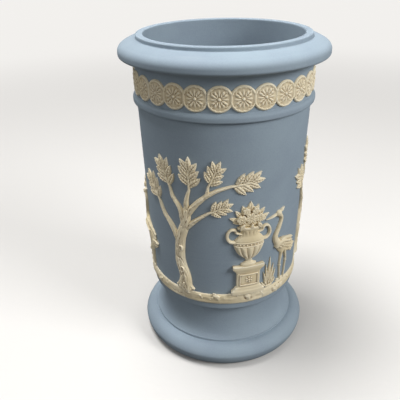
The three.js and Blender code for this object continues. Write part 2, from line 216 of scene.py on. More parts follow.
class ShapeTree(NodeSketch):
    """A Geometry Nodes group that makes one kind of shape. Its sizes are named inputs."""

    def __init__(self, name: str) -> None:
        """Starts the group, with its geometry and its material.

        Args:
            name: The group's name.
        """
        super().__init__(bpy.data.node_groups.new(name, "GeometryNodeTree"))
        self.entry = self.tree.nodes.new("NodeGroupInput")
        self.identifiers: dict[str, str] = {}
        self.geometry = self.input("geometry", "NodeSocketGeometry")
        self.material = self.input("material", "NodeSocketMaterial")
        self.tree.interface.new_socket("Geometry", in_out="OUTPUT", socket_type="NodeSocketGeometry")

    def input(self, name: str, kind: str, value: float | None = None) -> Field:
        """Adds a named input.

        Args:
            name: The input's name, with a low line for each space.
            kind: Its socket type.
            value: What it is where it isn't set.

        Returns:
            The input's value in the tree.
        """
        label = name.replace("_", " ").title()
        item = self.tree.interface.new_socket(label, in_out="INPUT", socket_type=kind)
        if value is not None:
            item.default_value = value
        self.identifiers[name] = item.identifier
        socket = next(s for s in self.entry.outputs if s.identifier == item.identifier)
        return Field(self, socket)

    def sized(self, cut: object) -> SimpleNamespace:
        """Adds a named input for each size of a cut.

        Args:
            cut: A dataclass of sizes, whose values are used where an input isn't set.

        Returns:
            The inputs' values in the tree, by the sizes' names.
        """
        fields = {}
        for name, value in asdict(cut).items():
            kind = "NodeSocketInt" if isinstance(value, int) else "NodeSocketFloat"
            fields[name] = self.input(name, kind, value)
        return SimpleNamespace(**fields)

    def named(self, name: str) -> Field:
        """A number that the geometry carries at each point."""
        return self.gives("GeometryNodeInputNamedAttribute", {"Name": name}, data_type="FLOAT")

    def store(self, geometry: Value, name: str, value: Value) -> Field:
        """The geometry, which now carries a number at each point by that name."""
        inputs = {"Geometry": geometry, "Name": name, "Value": value}
        return self.gives("GeometryNodeStoreNamedAttribute", inputs, data_type="FLOAT", domain="POINT")

    def place(self) -> Field:
        """Where each point is."""
        return self.gives("GeometryNodeInputPosition")

    def moved(self, geometry: Value, position: Value) -> Field:
        """The geometry with its points at new places."""
        return self.gives("GeometryNodeSetPosition", {"Geometry": geometry, "Position": position})

    def upright(self, angle: Value) -> Field:
        """A rotation about the axis that points out of the wall."""
        return self.gives("FunctionNodeEulerToRotation", {0: self.vector(0.0, 0.0, angle)})

    def between(self, value: Value, low: float, high: float) -> Field:
        """A number kept between two others."""
        return self.maths("MINIMUM", self.maths("MAXIMUM", value, low), high)

    def bulged(self, value: Field, power: Value) -> Field:
        """The power of a number's size, with the number's sign."""
        return self.maths("SIGN", value) * abs(value) ** power

    def section(self, points: Value, squareness: Value) -> Field:
        """A closed section one unit in radius, rounder or squarer, which carries side and rise.

        Args:
            points: How many points it has.
            squareness: 2 for a circle, more for square shoulders.

        Returns:
            The section's curve.
        """
        circle = self.gives("GeometryNodeCurvePrimitiveCircle", {"Resolution": points, "Radius": 1.0})
        x, y, _ = self.split(self.place())
        power = 2.0 / squareness
        curve = self.moved(circle, self.vector(self.bulged(x, power), self.bulged(y, power)))
        x, y, _ = self.split(self.place())
        return self.store(self.store(curve, "side", x), "rise", y)

    def swept(self, line: Value, section: Value, half_width: Value) -> Field:
        """A closed skin along a flat line, with the section's sides across it and its rise upwards.

        Args:
            line: The curve that the skin follows.
            section: The section's curve.
            half_width: The section's size along the line.

        Returns:
            The skin.
        """
        line = self.gives("GeometryNodeSetCurveNormal", {"Curve": line}, mode="Z_UP")
        inputs = {"Curve": line, "Profile Curve": section, "Scale": half_width, "Fill Caps": True}
        return self.gives("GeometryNodeCurveToMesh", inputs)

    def end(self, geometry: Value) -> None:
        """Makes the result plain geometry, gives it its material and ends the tree.

        Args:
            geometry: The result.
        """
        real = self.gives("GeometryNodeRealizeInstances", {"Geometry": geometry})
        real = self.gives("GeometryNodeSetMaterial", {"Geometry": real, "Material": self.material})
        leave = self.tree.nodes.new("NodeGroupOutput")
        self.feed(leave.inputs[0], real)

    def made(self, mesh: Mesh, cut: object = None, **others: object) -> Mesh:
        """Runs the tree on a mesh.

        Args:
            mesh: What goes in as its geometry.
            cut: The sizes that are set, as the tree's dataclass.
            others: Other inputs that are set.

        Returns:
            The result as a plain mesh.
        """
        bench = bpy.data.objects.new(self.tree.name, mesh)
        modifier = bench.modifiers.new(self.tree.name, "NODES")
        modifier.node_group = self.tree
        sizes = asdict(cut) if cut else {}
        for name, value in {**sizes, **others}.items():
            modifier[self.identifiers[name]] = value
        return plain_mesh(bench)


def plain_mesh(bench: bpy.types.Object) -> Mesh:
    """Applies an object's modifiers and removes the object.

    Args:
        bench: An object that isn't in the scene yet.

    Returns:
        The result as a plain mesh.
    """
    bpy.context.scene.collection.objects.link(bench)
    graph = bpy.context.evaluated_depsgraph_get()
    mesh = bpy.data.meshes.new_from_object(bench.evaluated_get(graph), depsgraph=graph)
    bpy.data.objects.remove(bench)
    return mesh


def thinned(mesh: Mesh, share: float) -> Mesh:
    """Leaves out faces where a mesh is smooth.

    Args:
        mesh: The mesh.
        share: The share of its faces that stay.

    Returns:
        The thinner mesh.
    """
    bench = bpy.data.objects.new("thinned", mesh)
    bench.modifiers.new("thin", "DECIMATE").ratio = share
    return plain_mesh(bench)


def marked_mesh(points: Sequence[Pair], edges: Sequence[Pair], **numbers: Sequence[float]) -> Mesh:
    """A flat mesh of points and edges that carries numbers.

    Args:
        points: The points, as (across, up).
        edges: The pairs of points that are joined, by their places in the list.
        numbers: What each point carries, by name.

    Returns:
        The mesh.
    """
    mesh = bpy.data.meshes.new("marks")
    mesh.from_pydata([(x, y, 0.0) for x, y in points], edges, [])
    for name, values in numbers.items():
        layer = mesh.attributes.new(name, "FLOAT", "POINT")
        layer.data.foreach_set("value", np.asarray(values, dtype=np.float32))
    return mesh


def polar(across: float, up: float, degrees: float, far: float) -> Pair:
    """The point at a distance and a direction from another."""
    angle = math.radians(degrees)
    return across + far * math.cos(angle), up + far * math.sin(angle)


@dataclass(frozen=True)
class Stroke:
    """A raised stroke of clay: a line with half widths and heights spread evenly along it."""

    line: tuple[Pair, ...]
    half_widths: tuple[float, ...]
    heights: tuple[float, ...]
    closed: bool = False

    def moved(self, across: float, up: float = 0.0) -> "Stroke":
        """The same stroke in another place."""
        return replace(self, line=tuple((x + across, z + up) for x, z in self.line))

    def mirrored(self) -> "Stroke":
        """The stroke with its left and right changed."""
        return replace(self, line=tuple((-x, z) for x, z in self.line))


@dataclass(frozen=True)
class Level:
    """One level of an upright form: how high it lies, how wide and how far out the form is there, and
    how deep its flutes are."""

    up: float
    half_width: float
    height: float
    fluting: float = 0.0


@dataclass(frozen=True)
class Mark:
    """A place for a leaf, which points along turn, in degrees, or for a boss of that size."""

    across: float
    up: float
    turn: float = 0.0
    size: float = 1.0
    height: float = 1.0

    def moved(self, across: float) -> "Mark":
        """The same mark in another place."""
        return replace(self, across=self.across + across)


@dataclass(frozen=True)
class StrokeCut:
    """How strokes are cut in the mould: the section's squareness and facets, the step along the line,
    the depth and width of the grain, the depth of the furrows and the number of flutes."""

    squareness: float = 2.4
    facets: int = 36
    step: float = 0.4
    grain: float = 0.0
    grain_width: float = 1.2
    furrows: float = 0.0
    flutes: float = 0.0


@dataclass(frozen=True)
class LeafCut:
    """How a leaf, petal or feather is cut in the mould. The place of its widest part is a share of its
    length, stalk and tip are shares of its width, and droop is the share of its lift lost at the tip."""

    length: float = 7.0
    half_width: float = 1.5
    height: float = 1.2
    widest: float = 0.45
    stalk: float = 0.25
    tip: float = 0.05
    rib: float = 0.25
    veins: float = 0.1
    vein_count: float = 5.0
    lift: float = 0.0
    droop: float = 0.0


@dataclass(frozen=True)
class BossCut:
    """How a boss is cut in the mould: 2 for a ball, more for a flat top."""

    flatness: float = 2.0


@dataclass(frozen=True)
class StoneCut:
    """How stones are strewn: how many to a square millimetre, how large, from what height up, and how
    they fall."""

    density: float = 0.3
    smallest: float = 0.3
    largest: float = 0.8
    lowest: float = 0.0
    seed: int = 1


@dataclass(frozen=True)
class LatheCut:
    """How clay is turned: in how many facets, and how uneven."""

    segments: int = 192
    uneven: float = 0.0008


@dataclass(frozen=True)
class WallCut:
    """The tapered wall that a sprig is bent round, in millimetres."""

    base: float
    height: float
    radius: float
    taper: float


class TurnTree(ShapeTree):
    """Turns an outline of (radius, height) round the vertical axis, a little uneven as by hand."""

    slow_noise: Noise = Noise(1.3)
    slow_share: float = 1.4
    slow_rise: float = 0.02
    ring_noise: Noise = Noise(1.0, 3.0)
    ring_turn: float = 0.15
    ring_rise: float = 0.22
    merge_distance: float = 0.001

    def __init__(self) -> None:
        """Writes the tree."""
        super().__init__("turned clay")
        cut = self.sized(LatheCut())
        rows = self.out(self.add("GeometryNodeAttributeDomainSize", {0: self.geometry}), "Point Count")
        grid = self.gives("GeometryNodeMeshGrid", {"Vertices X": cut.segments + 1, "Vertices Y": rows})
        index = self.gives("GeometryNodeInputIndex")
        column = self.maths("FLOOR", (index + 0.5) / rows)
        inputs = {"Geometry": self.geometry, "Value": self.place(), "Index": index - column * rows}
        sample = self.gives("GeometryNodeSampleIndex", inputs, data_type="FLOAT_VECTOR", domain="POINT")
        radius, height, _ = self.split(sample)
        angle = column / cut.segments * TURN
        sine = self.maths("SINE", angle)
        cosine = self.maths("COSINE", angle)
        slow = self.noise(self.vector(sine, cosine, height * self.slow_rise), self.slow_noise)
        spot = self.vector(sine * self.ring_turn, cosine * self.ring_turn, height * self.ring_rise)
        rings = self.noise(spot, self.ring_noise)
        reach = radius * (1.0 + cut.uneven * (slow * self.slow_share + rings)) * MM
        turned = self.moved(grid, self.vector(reach * sine, reach * cosine * -1.0, height * MM))
        inputs = {"Geometry": turned, "Distance": self.merge_distance * MM}
        self.end(self.gives("GeometryNodeMergeByDistance", inputs))


class StrokeTree(ShapeTree):
    """Raised strokes of clay that follow lines, each with its half width and height along it."""

    bark_noise: Noise = Noise(1.0)
    bark_stretch: float = 0.13
    bark_slice: float = 3.0
    bark_height: float = 2.0
    furrow_narrowness: float = 20.0
    facet_noise: Noise = Noise(0.28, 1.0)
    facet_slice: float = 7.0

    def __init__(self, smooth: bool) -> None:
        """Writes the tree.

        Args:
            smooth: Whether the lines are drawn smoothly through their points.
        """
        super().__init__("strokes of clay" if smooth else "mouldings of clay")
        cut = self.sized(StrokeCut())
        line = self.gives("GeometryNodeMeshToCurve", {0: self.geometry})
        if smooth:
            line = self.gives("GeometryNodeCurveSplineType", {0: line}, spline_type="CATMULL_ROM")
        line = self.gives("GeometryNodeResampleCurve", {"Curve": line, "Length": cut.step}, mode="LENGTH")
        length = self.out(self.add("GeometryNodeSplineParameter"), "Length")
        line = self.store(line, "along", length)
        skin = self.swept(line, self.section(cut.facets, cut.squareness), self.named("half_width"))
        x, y, _ = self.split(self.place())
        across = self.named("side") * self.named("half_width") / cut.grain_width
        along = self.named("along") / cut.grain_width * self.bark_stretch
        bark = self.noise(self.vector(across, along, self.bark_slice), self.bark_noise)
        furrow = self.maths("MAXIMUM", 1.0 - abs(bark) * self.furrow_narrowness, 0.0) * cut.furrows
        facet = self.noise(self.vector(x, y, self.facet_slice), self.facet_noise)
        bent = self.maths("ARCSINE", self.between(self.named("side"), -1.0, 1.0))
        flute = abs(self.maths("COSINE", bent * cut.flutes)) * self.named("fluting")
        grain = cut.grain * (bark * self.bark_height + facet)
        out = self.named("rise") * (self.named("height") + grain + flute - furrow)
        self.end(self.moved(skin, self.vector(x, y, out)))

    def laid(self, strokes: Sequence[Stroke], cut: StrokeCut) -> Mesh:
        """Lays some strokes.

        Args:
            strokes: The strokes.
            cut: How they are cut.

        Returns:
            Their clay.
        """
        points, edges, half_widths, heights = [], [], [], []
        for stroke in strokes:
            start, count = len(points), len(stroke.line)
            points += stroke.line
            edges += [(start + k, start + k + 1) for k in range(count - 1)]
            if stroke.closed:
                edges.append((start + count - 1, start))
            for numbers, values in ((half_widths, stroke.half_widths), (heights, stroke.heights)):
                numbers += list(np.interp(np.linspace(0, 1, count), np.linspace(0, 1, len(values)), values))
        return self.made(marked_mesh(points, edges, half_width=half_widths, height=heights), cut)

    def stood(self, middle: float, levels: Sequence[Level], cut: StrokeCut) -> Mesh:
        """Stands an upright form on its middle line.

        Args:
            middle: Where the line is, across.
            levels: The form's levels, from its foot up.
            cut: How it is cut.

        Returns:
            Its clay.
        """
        line = [(middle, level.up) for level in levels]
        edges = [(k, k + 1) for k in range(len(levels) - 1)]
        names = ("half_width", "height", "fluting")
        numbers = {name: [getattr(level, name) for level in levels] for name in names}
        return self.made(marked_mesh(line, edges, **numbers), cut)


class MarkTree(ShapeTree):
    """A tree that puts one form at each mark."""

    def put(self, form: Value, rotation: Value = (0.0, 0.0, 0.0)) -> None:
        """Puts the form at the marks, as wide and as high as they say, and ends the tree.

        Args:
            form: The form.
            rotation: How it is turned.
        """
        size = self.named("size")
        inputs = {
            "Points": self.geometry,
            "Instance": form,
            "Rotation": rotation,
            "Scale": self.vector(size, size, self.named("height")),
        }
        self.end(self.gives("GeometryNodeInstanceOnPoints", inputs))

    def cut(self, marks: Sequence[Mark], cut: LeafCut | BossCut) -> Mesh:
        """Cuts the form at some marks.

        Args:
            marks: The marks.
            cut: How the form is cut.

        Returns:
            The forms' clay.
        """
        points = [(mark.across, mark.up) for mark in marks]
        turn = [math.radians(mark.turn) for mark in marks]
        size = [mark.size for mark in marks]
        height = [mark.height for mark in marks]
        return self.made(marked_mesh(points, [], turn=turn, size=size, height=height), cut)


class LeafTree(MarkTree):
    """One leaf, petal or feather at each mark, turned and sized as the mark says."""

    steps: int = 26
    facets: int = 24
    squareness: float = 2.2
    fullness: float = 0.85
    rib_narrowness: float = 24.0
    rib_end: Pair = (1.0, 0.7)
    vein_slant: float = 0.9
    vein_start: Pair = (0.05, 0.3)
    end_height: float = 0.55
    lean: float = 0.1
    lift_edge: float = 0.2

    def __init__(self) -> None:
        """Writes the tree."""
        super().__init__("leaves of clay")
        cut = self.sized(LeafCut())
        ends = {"Start": (0.0, 0.0, 0.0), "End": self.vector(cut.length)}
        line = self.gives("GeometryNodeCurvePrimitiveLine", ends)
        line = self.gives("GeometryNodeResampleCurve", {"Curve": line, "Count": self.steps}, mode="COUNT")
        share = self.out(self.add("GeometryNodeSplineParameter"), "Factor")
        power = self.maths("LOGARITHM", 0.5, cut.widest)
        swell = self.maths("SINE", share ** power * math.pi) ** self.fullness
        narrow = cut.stalk * (1.0 - share) + cut.tip * share
        line = self.store(line, "along", share)
        line = self.store(line, "wide", cut.half_width * self.maths("MAXIMUM", swell, narrow))
        skin = self.swept(line, self.section(self.facets, self.squareness), self.named("wide"))
        x, y, _ = self.split(self.place())
        along = self.named("along")
        side = self.named("side")
        reach = abs(side)
        middle = self.maths("EXPONENT", reach * reach * -self.rib_narrowness)
        beat = self.maths("COSINE", (along * cut.vein_count - reach * self.vein_slant) * TURN)
        rib = cut.rib * middle * self.ramp(along, *self.rib_end)
        carved = rib + cut.veins * beat * self.ramp(reach, *self.vein_start)
        arch = self.end_height + (1.0 - self.end_height) * self.maths("SINE", along * math.pi)
        crown = cut.height * arch * (1.0 - self.lean * side)
        front = self.ramp(self.named("rise"), -self.lift_edge, self.lift_edge)
        lifted = cut.lift * (1.0 - cut.droop * along * along) * front
        skin = self.moved(skin, self.vector(x, y, self.named("rise") * (crown - carved) + lifted))
        self.put(skin, self.upright(self.named("turn")))


class BossTree(MarkTree):
    """A round boss, berry, bead or disc at each mark, as wide and as high as the mark says."""

    segments: int = 40
    rings: int = 24
    least_reach: float = 0.0001

    def __init__(self) -> None:
        """Writes the tree."""
        super().__init__("bosses of clay")
        cut = self.sized(BossCut())
        inputs = {"Segments": self.segments, "Rings": self.rings, "Radius": 1.0}
        ball = self.gives("GeometryNodeMeshUVSphere", inputs)
        x, y, z = self.split(self.place())
        reach = self.maths("SQRT", x * x + y * y)
        power = 2.0 / cut.flatness
        spread = self.maths("MAXIMUM", reach, self.least_reach) ** (power - 1.0)
        self.put(self.moved(ball, self.vector(x * spread, y * spread, self.bulged(z, power))))


class StoneTree(ShapeTree):
    """Strews worn stones over a form's front."""

    front: float = 0.5
    fineness: int = 3
    wear: float = 1.3
    wear_noise: Noise = Noise(1.1, 1.0)
    proportions: Triple = (1.45, 0.8, 0.5)

    def __init__(self) -> None:
        """Writes the tree."""
        super().__init__("stones of clay")
        cut = self.sized(StoneCut())
        _, up, out = self.split(self.place())
        front = self.maths("GREATER_THAN", out, self.front) * self.maths("GREATER_THAN", up, cut.lowest)
        inputs = {"Mesh": self.geometry, "Selection": front, "Density": cut.density, "Seed": cut.seed}
        points = self.gives("GeometryNodeDistributePointsOnFaces", inputs, distribute_method="RANDOM")
        stone = self.gives("GeometryNodeMeshIcoSphere", {"Radius": 1.0, "Subdivisions": self.fineness})
        worn = 1.0 + self.noise(self.place(), self.wear_noise) * self.wear
        stone = self.moved(stone, self.vector(*(part * worn for part in self.split(self.place()))))
        size = self.drawn(cut.smallest, cut.largest, cut.seed + 1)
        inputs = {
            "Points": points,
            "Instance": stone,
            "Rotation": self.upright(self.drawn(-1.0, 1.0, cut.seed + 2)),
            "Scale": self.vector(*(size * share for share in self.proportions)),
        }
        joined = self.add("GeometryNodeJoinGeometry")
        self.feed(joined.inputs[0], self.gives("GeometryNodeInstanceOnPoints", inputs))
        self.feed(joined.inputs[0], self.geometry)
        self.end(self.out(joined))

    def drawn(self, low: Value, high: Value, seed: Value) -> Field:
        """A number drawn for each stone."""
        inputs = {"Min": low, "Max": high, "Seed": seed}
        return self.gives("FunctionNodeRandomValue", inputs, data_type="FLOAT")


class WallTree(ShapeTree):
    """Bends a flat sprig round the front of the tapered wall. At each point the sprig carries how far
    it stands out, and how hollow it is in its fine cuts and in its broad valleys."""

    cut_blur: int = 14
    valley_blur: int = 70

    def __init__(self, wall: WallCut) -> None:
        """Writes the tree.

        Args:
            wall: The wall.
        """
        super().__init__("sprig on the wall")
        cut = self.sized(wall)
        across, up, out = self.split(self.place())
        sprig = self.store(self.geometry, "hollow", self.blurred(out, self.cut_blur) - out)
        sprig = self.store(sprig, "valley", self.blurred(out, self.valley_blur) - out)
        sprig = self.store(sprig, "stand", out)
        angle = across / cut.radius
        share = self.between((up - cut.base) / cut.height, 0.0, 1.0)
        reach = (cut.radius - cut.taper * (1.0 - share) + out) * MM
        sine = self.maths("SINE", angle)
        cosine = self.maths("COSINE", angle)
        self.end(self.moved(sprig, self.vector(reach * sine, reach * cosine * -1.0, up * MM)))

    def blurred(self, value: Value, times: int) -> Field:
        """A number averaged with its neighbours' so many times."""
        inputs = {"Value": value, "Iterations": times}
        return self.gives("GeometryNodeBlurAttribute", inputs, data_type="FLOAT")


@dataclass(frozen=True)
class VaseSizes:
    """The vase's heights and radii in millimetres. The four without a value come from the frame."""

    height: float
    foot_height: float
    rim_radius: float
    foot_radius: float
    ledge_round: float = 1.5
    ring_height: float = 4.1
    border_margin_below: float = 0.4
    rosette_radius: float = 5.7
    border_margin_above: float = 2.5
    rim_under_height: float = 5.5
    rim_over_height: float = 4.85
    lip_height: float = 1.65
    body_wall: float = 4.7
    floor_thickness: float = 5.0
    floor_round: float = 6.0
    ring_projection: float = 1.8
    rim_projection: float = 7.3
    lip_width: float = 3.5
    ledge_overhang: float = 2.5
    waist_inset: float = 2.4
    foot_spread: float = 6.8
    torus_height: float = 12.7
    torus_projection: float = 6.8
    step_width: float = 0.5
    sole_rounding: float = 5.5
    sole_width: float = 3.9
    foot_wall: float = 4.7
    ground_offset: float = 2.8
    ground_height: float = 6.5
    ground_thickness: float = 1.35
    border_strips: int = 9
    rosettes_per_strip: int = 3
    border_turn: float = math.radians(-9.1)
    ground_strips: int = 6
    scene_repeats: int = 3
    sprig_gap: float = 0.3

    @classmethod
    def from_frame(cls) -> "VaseSizes":
        """Measures the vase in the frame.

        Returns:
            Its sizes.
        """
        _, body_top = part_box("vase_body")
        _, foot_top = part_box("foot")
        return cls(body_top.z / MM, foot_top.z / MM, body_top.x / MM, foot_top.x / MM)

    @property
    def groove(self) -> float:
        """Height of the groove between rim and lip."""
        return self.height - self.lip_height

    @property
    def rim_crest(self) -> float:
        """Height at which the rim is widest."""
        return self.groove - self.rim_over_height

    @property
    def neck_top(self) -> float:
        """Height at which the rim starts."""
        return self.rim_crest - self.rim_under_height

    @property
    def border_middle(self) -> float:
        """Height of the rosettes' middles."""
        return self.neck_top - self.border_margin_above - self.rosette_radius

    @property
    def ring_top(self) -> float:
        """Height of the raised ring's upper edge."""
        return self.border_middle - self.rosette_radius - self.border_margin_below

    @property
    def wall_top(self) -> float:
        """Height of the raised ring's lower edge."""
        return self.ring_top - self.ring_height

    @property
    def wall_base(self) -> float:
        """Height at which the tapered wall starts."""
        return self.foot_height + self.ledge_round

    @property
    def body_top_radius(self) -> float:
        """Outer radius of the neck."""
        return self.rim_radius - self.rim_projection

    @property
    def body_base_radius(self) -> float:
        """Outer radius of the wall at its base."""
        return self.foot_radius - self.foot_spread

    @property
    def wall(self) -> WallCut:
        """The tapered wall."""
        height, taper = self.wall_top - self.wall_base, self.body_top_radius - self.body_base_radius
        return WallCut(self.wall_base, height, self.body_top_radius, taper)

    @property
    def ground_base(self) -> float:
        """Height of the ground band's lower edge."""
        return self.wall_base + self.ground_offset

    @property
    def ground_top(self) -> float:
        """Height of the ground that the scene stands on."""
        return self.ground_base + self.ground_height


class Outline:
    """A line of (radius, height) points, drawn in straight and curved stretches."""

    def __init__(self, radius: float, height: float) -> None:
        """Starts the line at a point."""
        self.points = [(radius, height)]

    def line(self, end: Pair, steps: int) -> "Outline":
        """Draws a straight stretch, with shorter steps near its ends so that corners stay crisp.

        Args:
            end: Where it ends.
            steps: How many steps it has.

        Returns:
            The outline.
        """
        start = self.points[-1]
        for k in range(1, steps + 1):
            share = 0.5 - 0.5 * math.cos(math.pi * k / steps)
            self.points.append(tuple(a + (b - a) * share for a, b in zip(start, end)))
        return self

    def curve(self, *controls: Pair, steps: int) -> "Outline":
        """Draws a Bezier curve from the last point.

        Args:
            controls: Its control points, the end last.
            steps: How many steps it has.

        Returns:
            The outline.
        """
        corners = np.array([self.points[-1], *controls])
        degree = len(corners) - 1
        weights = [math.comb(degree, k) for k in range(degree + 1)]
        for step in range(1, steps + 1):
            t = step / steps
            blend = [w * (1 - t) ** (degree - k) * t**k for k, w in enumerate(weights)]
            self.points.append(tuple(float(v) for v in np.array(blend) @ corners))
        return self


@dataclass(frozen=True)
class Mould:
    """Fuses forms into one sprig and softens it, as a plaster mould and the fire do."""

    grain: float
    softening: int
    softness: float = 0.5
    bedding: float = 0.25

    def pressed(self, forms: Sequence[Mesh], reach: float = math.inf) -> Mesh:
        """Presses one sprig.

        Args:
            forms: The flat forms, which may run into each other.
            reach: How far it goes each way across before it is cut straight.

        Returns:
            One closed mesh with a flat back, bedded a little into the wall.
        """
        merged = bmesh.new()
        for form in forms:
            merged.from_mesh(form)
            bpy.data.meshes.remove(form)
        for vert in merged.verts:
            vert.co.z = max(vert.co.z, -self.bedding)
            vert.co.x = min(max(vert.co.x, -reach), reach)
        mesh = bpy.data.meshes.new("sprig")
        merged.to_mesh(mesh)
        merged.free()
        bench = bpy.data.objects.new("sprig", mesh)
        fuse = bench.modifiers.new("fuse", "REMESH")
        fuse.mode = "VOXEL"
        fuse.voxel_size = self.grain
        soften = bench.modifiers.new("soften", "SMOOTH")
        soften.factor = self.softness
        soften.iterations = self.softening
        return plain_mesh(bench)


def linear(colour: Colour) -> tuple[float, float, float, float]:
    """A colour as the shader takes it.

    Args:
        colour: Red, green and blue from 0 to 255, as on a screen.

    Returns:
        The linear colour, opaque.
    """
    shares = [c / 255 for c in colour]
    red, green, blue = [s / 12.92 if s <= 0.04045 else ((s + 0.055) / 1.055) ** 2.4 for s in shares]
    return red, green, blue, 1.0


class ShaderSketch(NodeSketch):
    """Writes a material's nodes."""

    def __init__(self, name: str) -> None:
        """Starts a material on its surface shader.

        Args:
            name: The material's name.
        """
        self.material = bpy.data.materials.new(name)
        self.material.use_nodes = True
        super().__init__(self.material.node_tree)
        self.shader = self.tree.nodes["Principled BSDF"]

    def mix(self, share: Value, first: Colour | Field, second: Colour) -> Field:
        """A colour between two others.

        Args:
            share: How much there is of the second.
            first: The first colour.
            second: The second colour.

        Returns:
            The mixed colour.
        """
        first = first if isinstance(first, Field) else linear(first)
        inputs = {"Factor": share, "A": first, "B": linear(second)}
        return self.gives("ShaderNodeMix", inputs, data_type="RGBA")

    def place(self) -> Field:
        """Where the surface is, in the object's own metres."""
        return self.out(self.add("ShaderNodeTexCoord"), "Object")

    def carried(self, name: str) -> Field:
        """A number that the mesh carries."""
        return self.out(self.add("ShaderNodeAttribute", attribute_name=name), "Fac")

    def dress(self, colour: Value, roughness: Value, height: Value, distance: float, specular: float) -> None:
        """Sets the surface.

        Args:
            colour: Its colour.
            roughness: Its roughness.
            height: Its fine relief, about one unit high.
            distance: The height of one unit of that relief, in metres.
            specular: How strongly it mirrors light.
        """
        self.feed(self.shader.inputs["Base Color"], colour)
        self.feed(self.shader.inputs["Roughness"], roughness)
        self.shader.inputs["Specular IOR Level"].default_value = specular
        bump = self.gives("ShaderNodeBump", {"Strength": 1.0, "Distance": distance, "Height": height})
        self.feed(self.shader.inputs["Normal"], bump)


class Slot(Enum):
    """The record's material slots."""

    BLUE = "blue_jasper"
    WHITE = "white_jasper"


@dataclass(frozen=True)
class BlueClay:
    """Pale blue unglazed stoneware, dense and dry, with faint marks of the turning tool."""

    colour: Colour = (146, 161, 172)
    deep: Colour = (135, 149, 162)
    worn: Colour = (162, 175, 183)
    cloud: Noise = Noise(42.0, 3.0)
    speck: Noise = Noise(1500.0, 2.0, 0.6)
    tool: Noise = Noise(1.0)
    tool_turn: float = 6.0
    tool_rise: float = 900.0
    tool_height: float = 0.8
    deep_range: Pair = (-0.3, 0.3)
    deep_specks: float = 0.5
    worn_range: Pair = (0.05, 0.4)
    worn_tool: float = 0.3
    worn_share: float = 0.5
    roughness: float = 0.7
    rough_cloud: float = 0.12
    rough_specks: float = 0.1
    specular: float = 0.3
    grain: float = 0.000024

    def material(self) -> bpy.types.Material:
        """Makes the material.

        Returns:
            The material.
        """
        sketch = ShaderSketch(Slot.BLUE.value)
        place = sketch.place()
        x, y, z = sketch.split(place)
        cloud = sketch.noise(place, self.cloud)
        speck = sketch.noise(place, self.speck)
        spot = sketch.vector(x * self.tool_turn, y * self.tool_turn, z * self.tool_rise)
        tool = sketch.noise(spot, self.tool)
        bright = sketch.ramp(cloud + speck * self.deep_specks, *self.deep_range)
        colour = sketch.mix(bright, self.deep, self.colour)
        worn = sketch.ramp(cloud * -1.0 + tool * self.worn_tool, *self.worn_range)
        colour = sketch.mix(worn * self.worn_share, colour, self.worn)
        rough = cloud * self.rough_cloud + speck * self.rough_specks + self.roughness
        sketch.dress(colour, rough, speck + tool * self.tool_height, self.grain, self.specular)
        return sketch.material


@dataclass(frozen=True)
class WhiteClay:
    """White stoneware gone cream: brown in its cuts and valleys, partly dirt and partly painted shade; paler
    on raised points, partly rubbed wear and partly a painted highlight; blue at thin edges.
    """

    colour: Colour = (230, 219, 191)
    warm: Colour = (221, 205, 167)
    rubbed: Colour = (240, 233, 214)
    stain: Colour = (146, 120, 90)
    thin: Colour = (188, 190, 190)
    cloud: Noise = Noise(60.0, 3.0)
    patch: Noise = Noise(260.0)
    speck: Noise = Noise(1700.0, 2.0, 0.6)
    warm_range: Pair = (-0.3, 0.3)
    warm_specks: float = 0.3
    rubbed_range: Pair = (-0.01, -0.09)
    rubbed_share: float = 0.8
    thin_range: Pair = (0.3, 0.05)
    thin_share: float = 0.55
    stain_range: Pair = (0.01, 0.15)
    stain_valley: float = 0.4
    stain_patch: float = 0.05
    stain_share: float = 0.85
    roughness: float = 0.62
    rough_cloud: float = 0.1
    rough_specks: float = 0.08
    rough_stain: float = 0.15
    specular: float = 0.34
    grain: float = 0.000024

    def material(self) -> bpy.types.Material:
        """Makes the material.

        Returns:
            The material.
        """
        sketch = ShaderSketch(Slot.WHITE.value)
        place = sketch.place()
        cloud = sketch.noise(place, self.cloud)
        patch = sketch.noise(place, self.patch)
        speck = sketch.noise(place, self.speck)
        hollow = sketch.carried("hollow")
        # How deep each point lies in its fine cuts and broad valleys: the mask for the brown, which is partly
        # dirt and partly painted shade.
        cut = hollow + sketch.carried("valley") * self.stain_valley
        bright = sketch.ramp(cloud + speck * self.warm_specks, *self.warm_range)
        colour = sketch.mix(bright, self.warm, self.colour)
        # Painted highlight with some rubbed wear: points that stand above their neighbours are made paler.
        rubbed = sketch.ramp(hollow, *self.rubbed_range)
        colour = sketch.mix(rubbed * self.rubbed_share, colour, self.rubbed)
        thin = sketch.ramp(sketch.carried("stand"), *self.thin_range)
        colour = sketch.mix(thin * self.thin_share, colour, self.thin)
        # Painted shade with some dirt: the cuts and valleys are darkened brown and made a little rougher.
        stain = sketch.ramp(cut + patch * self.stain_patch, *self.stain_range) * self.stain_share
        colour = sketch.mix(stain, colour, self.stain)
        rough = cloud * self.rough_cloud + speck * self.rough_specks + self.roughness
        sketch.dress(colour, rough + stain * self.rough_stain, speck, self.grain, self.specular)
        return sketch.material


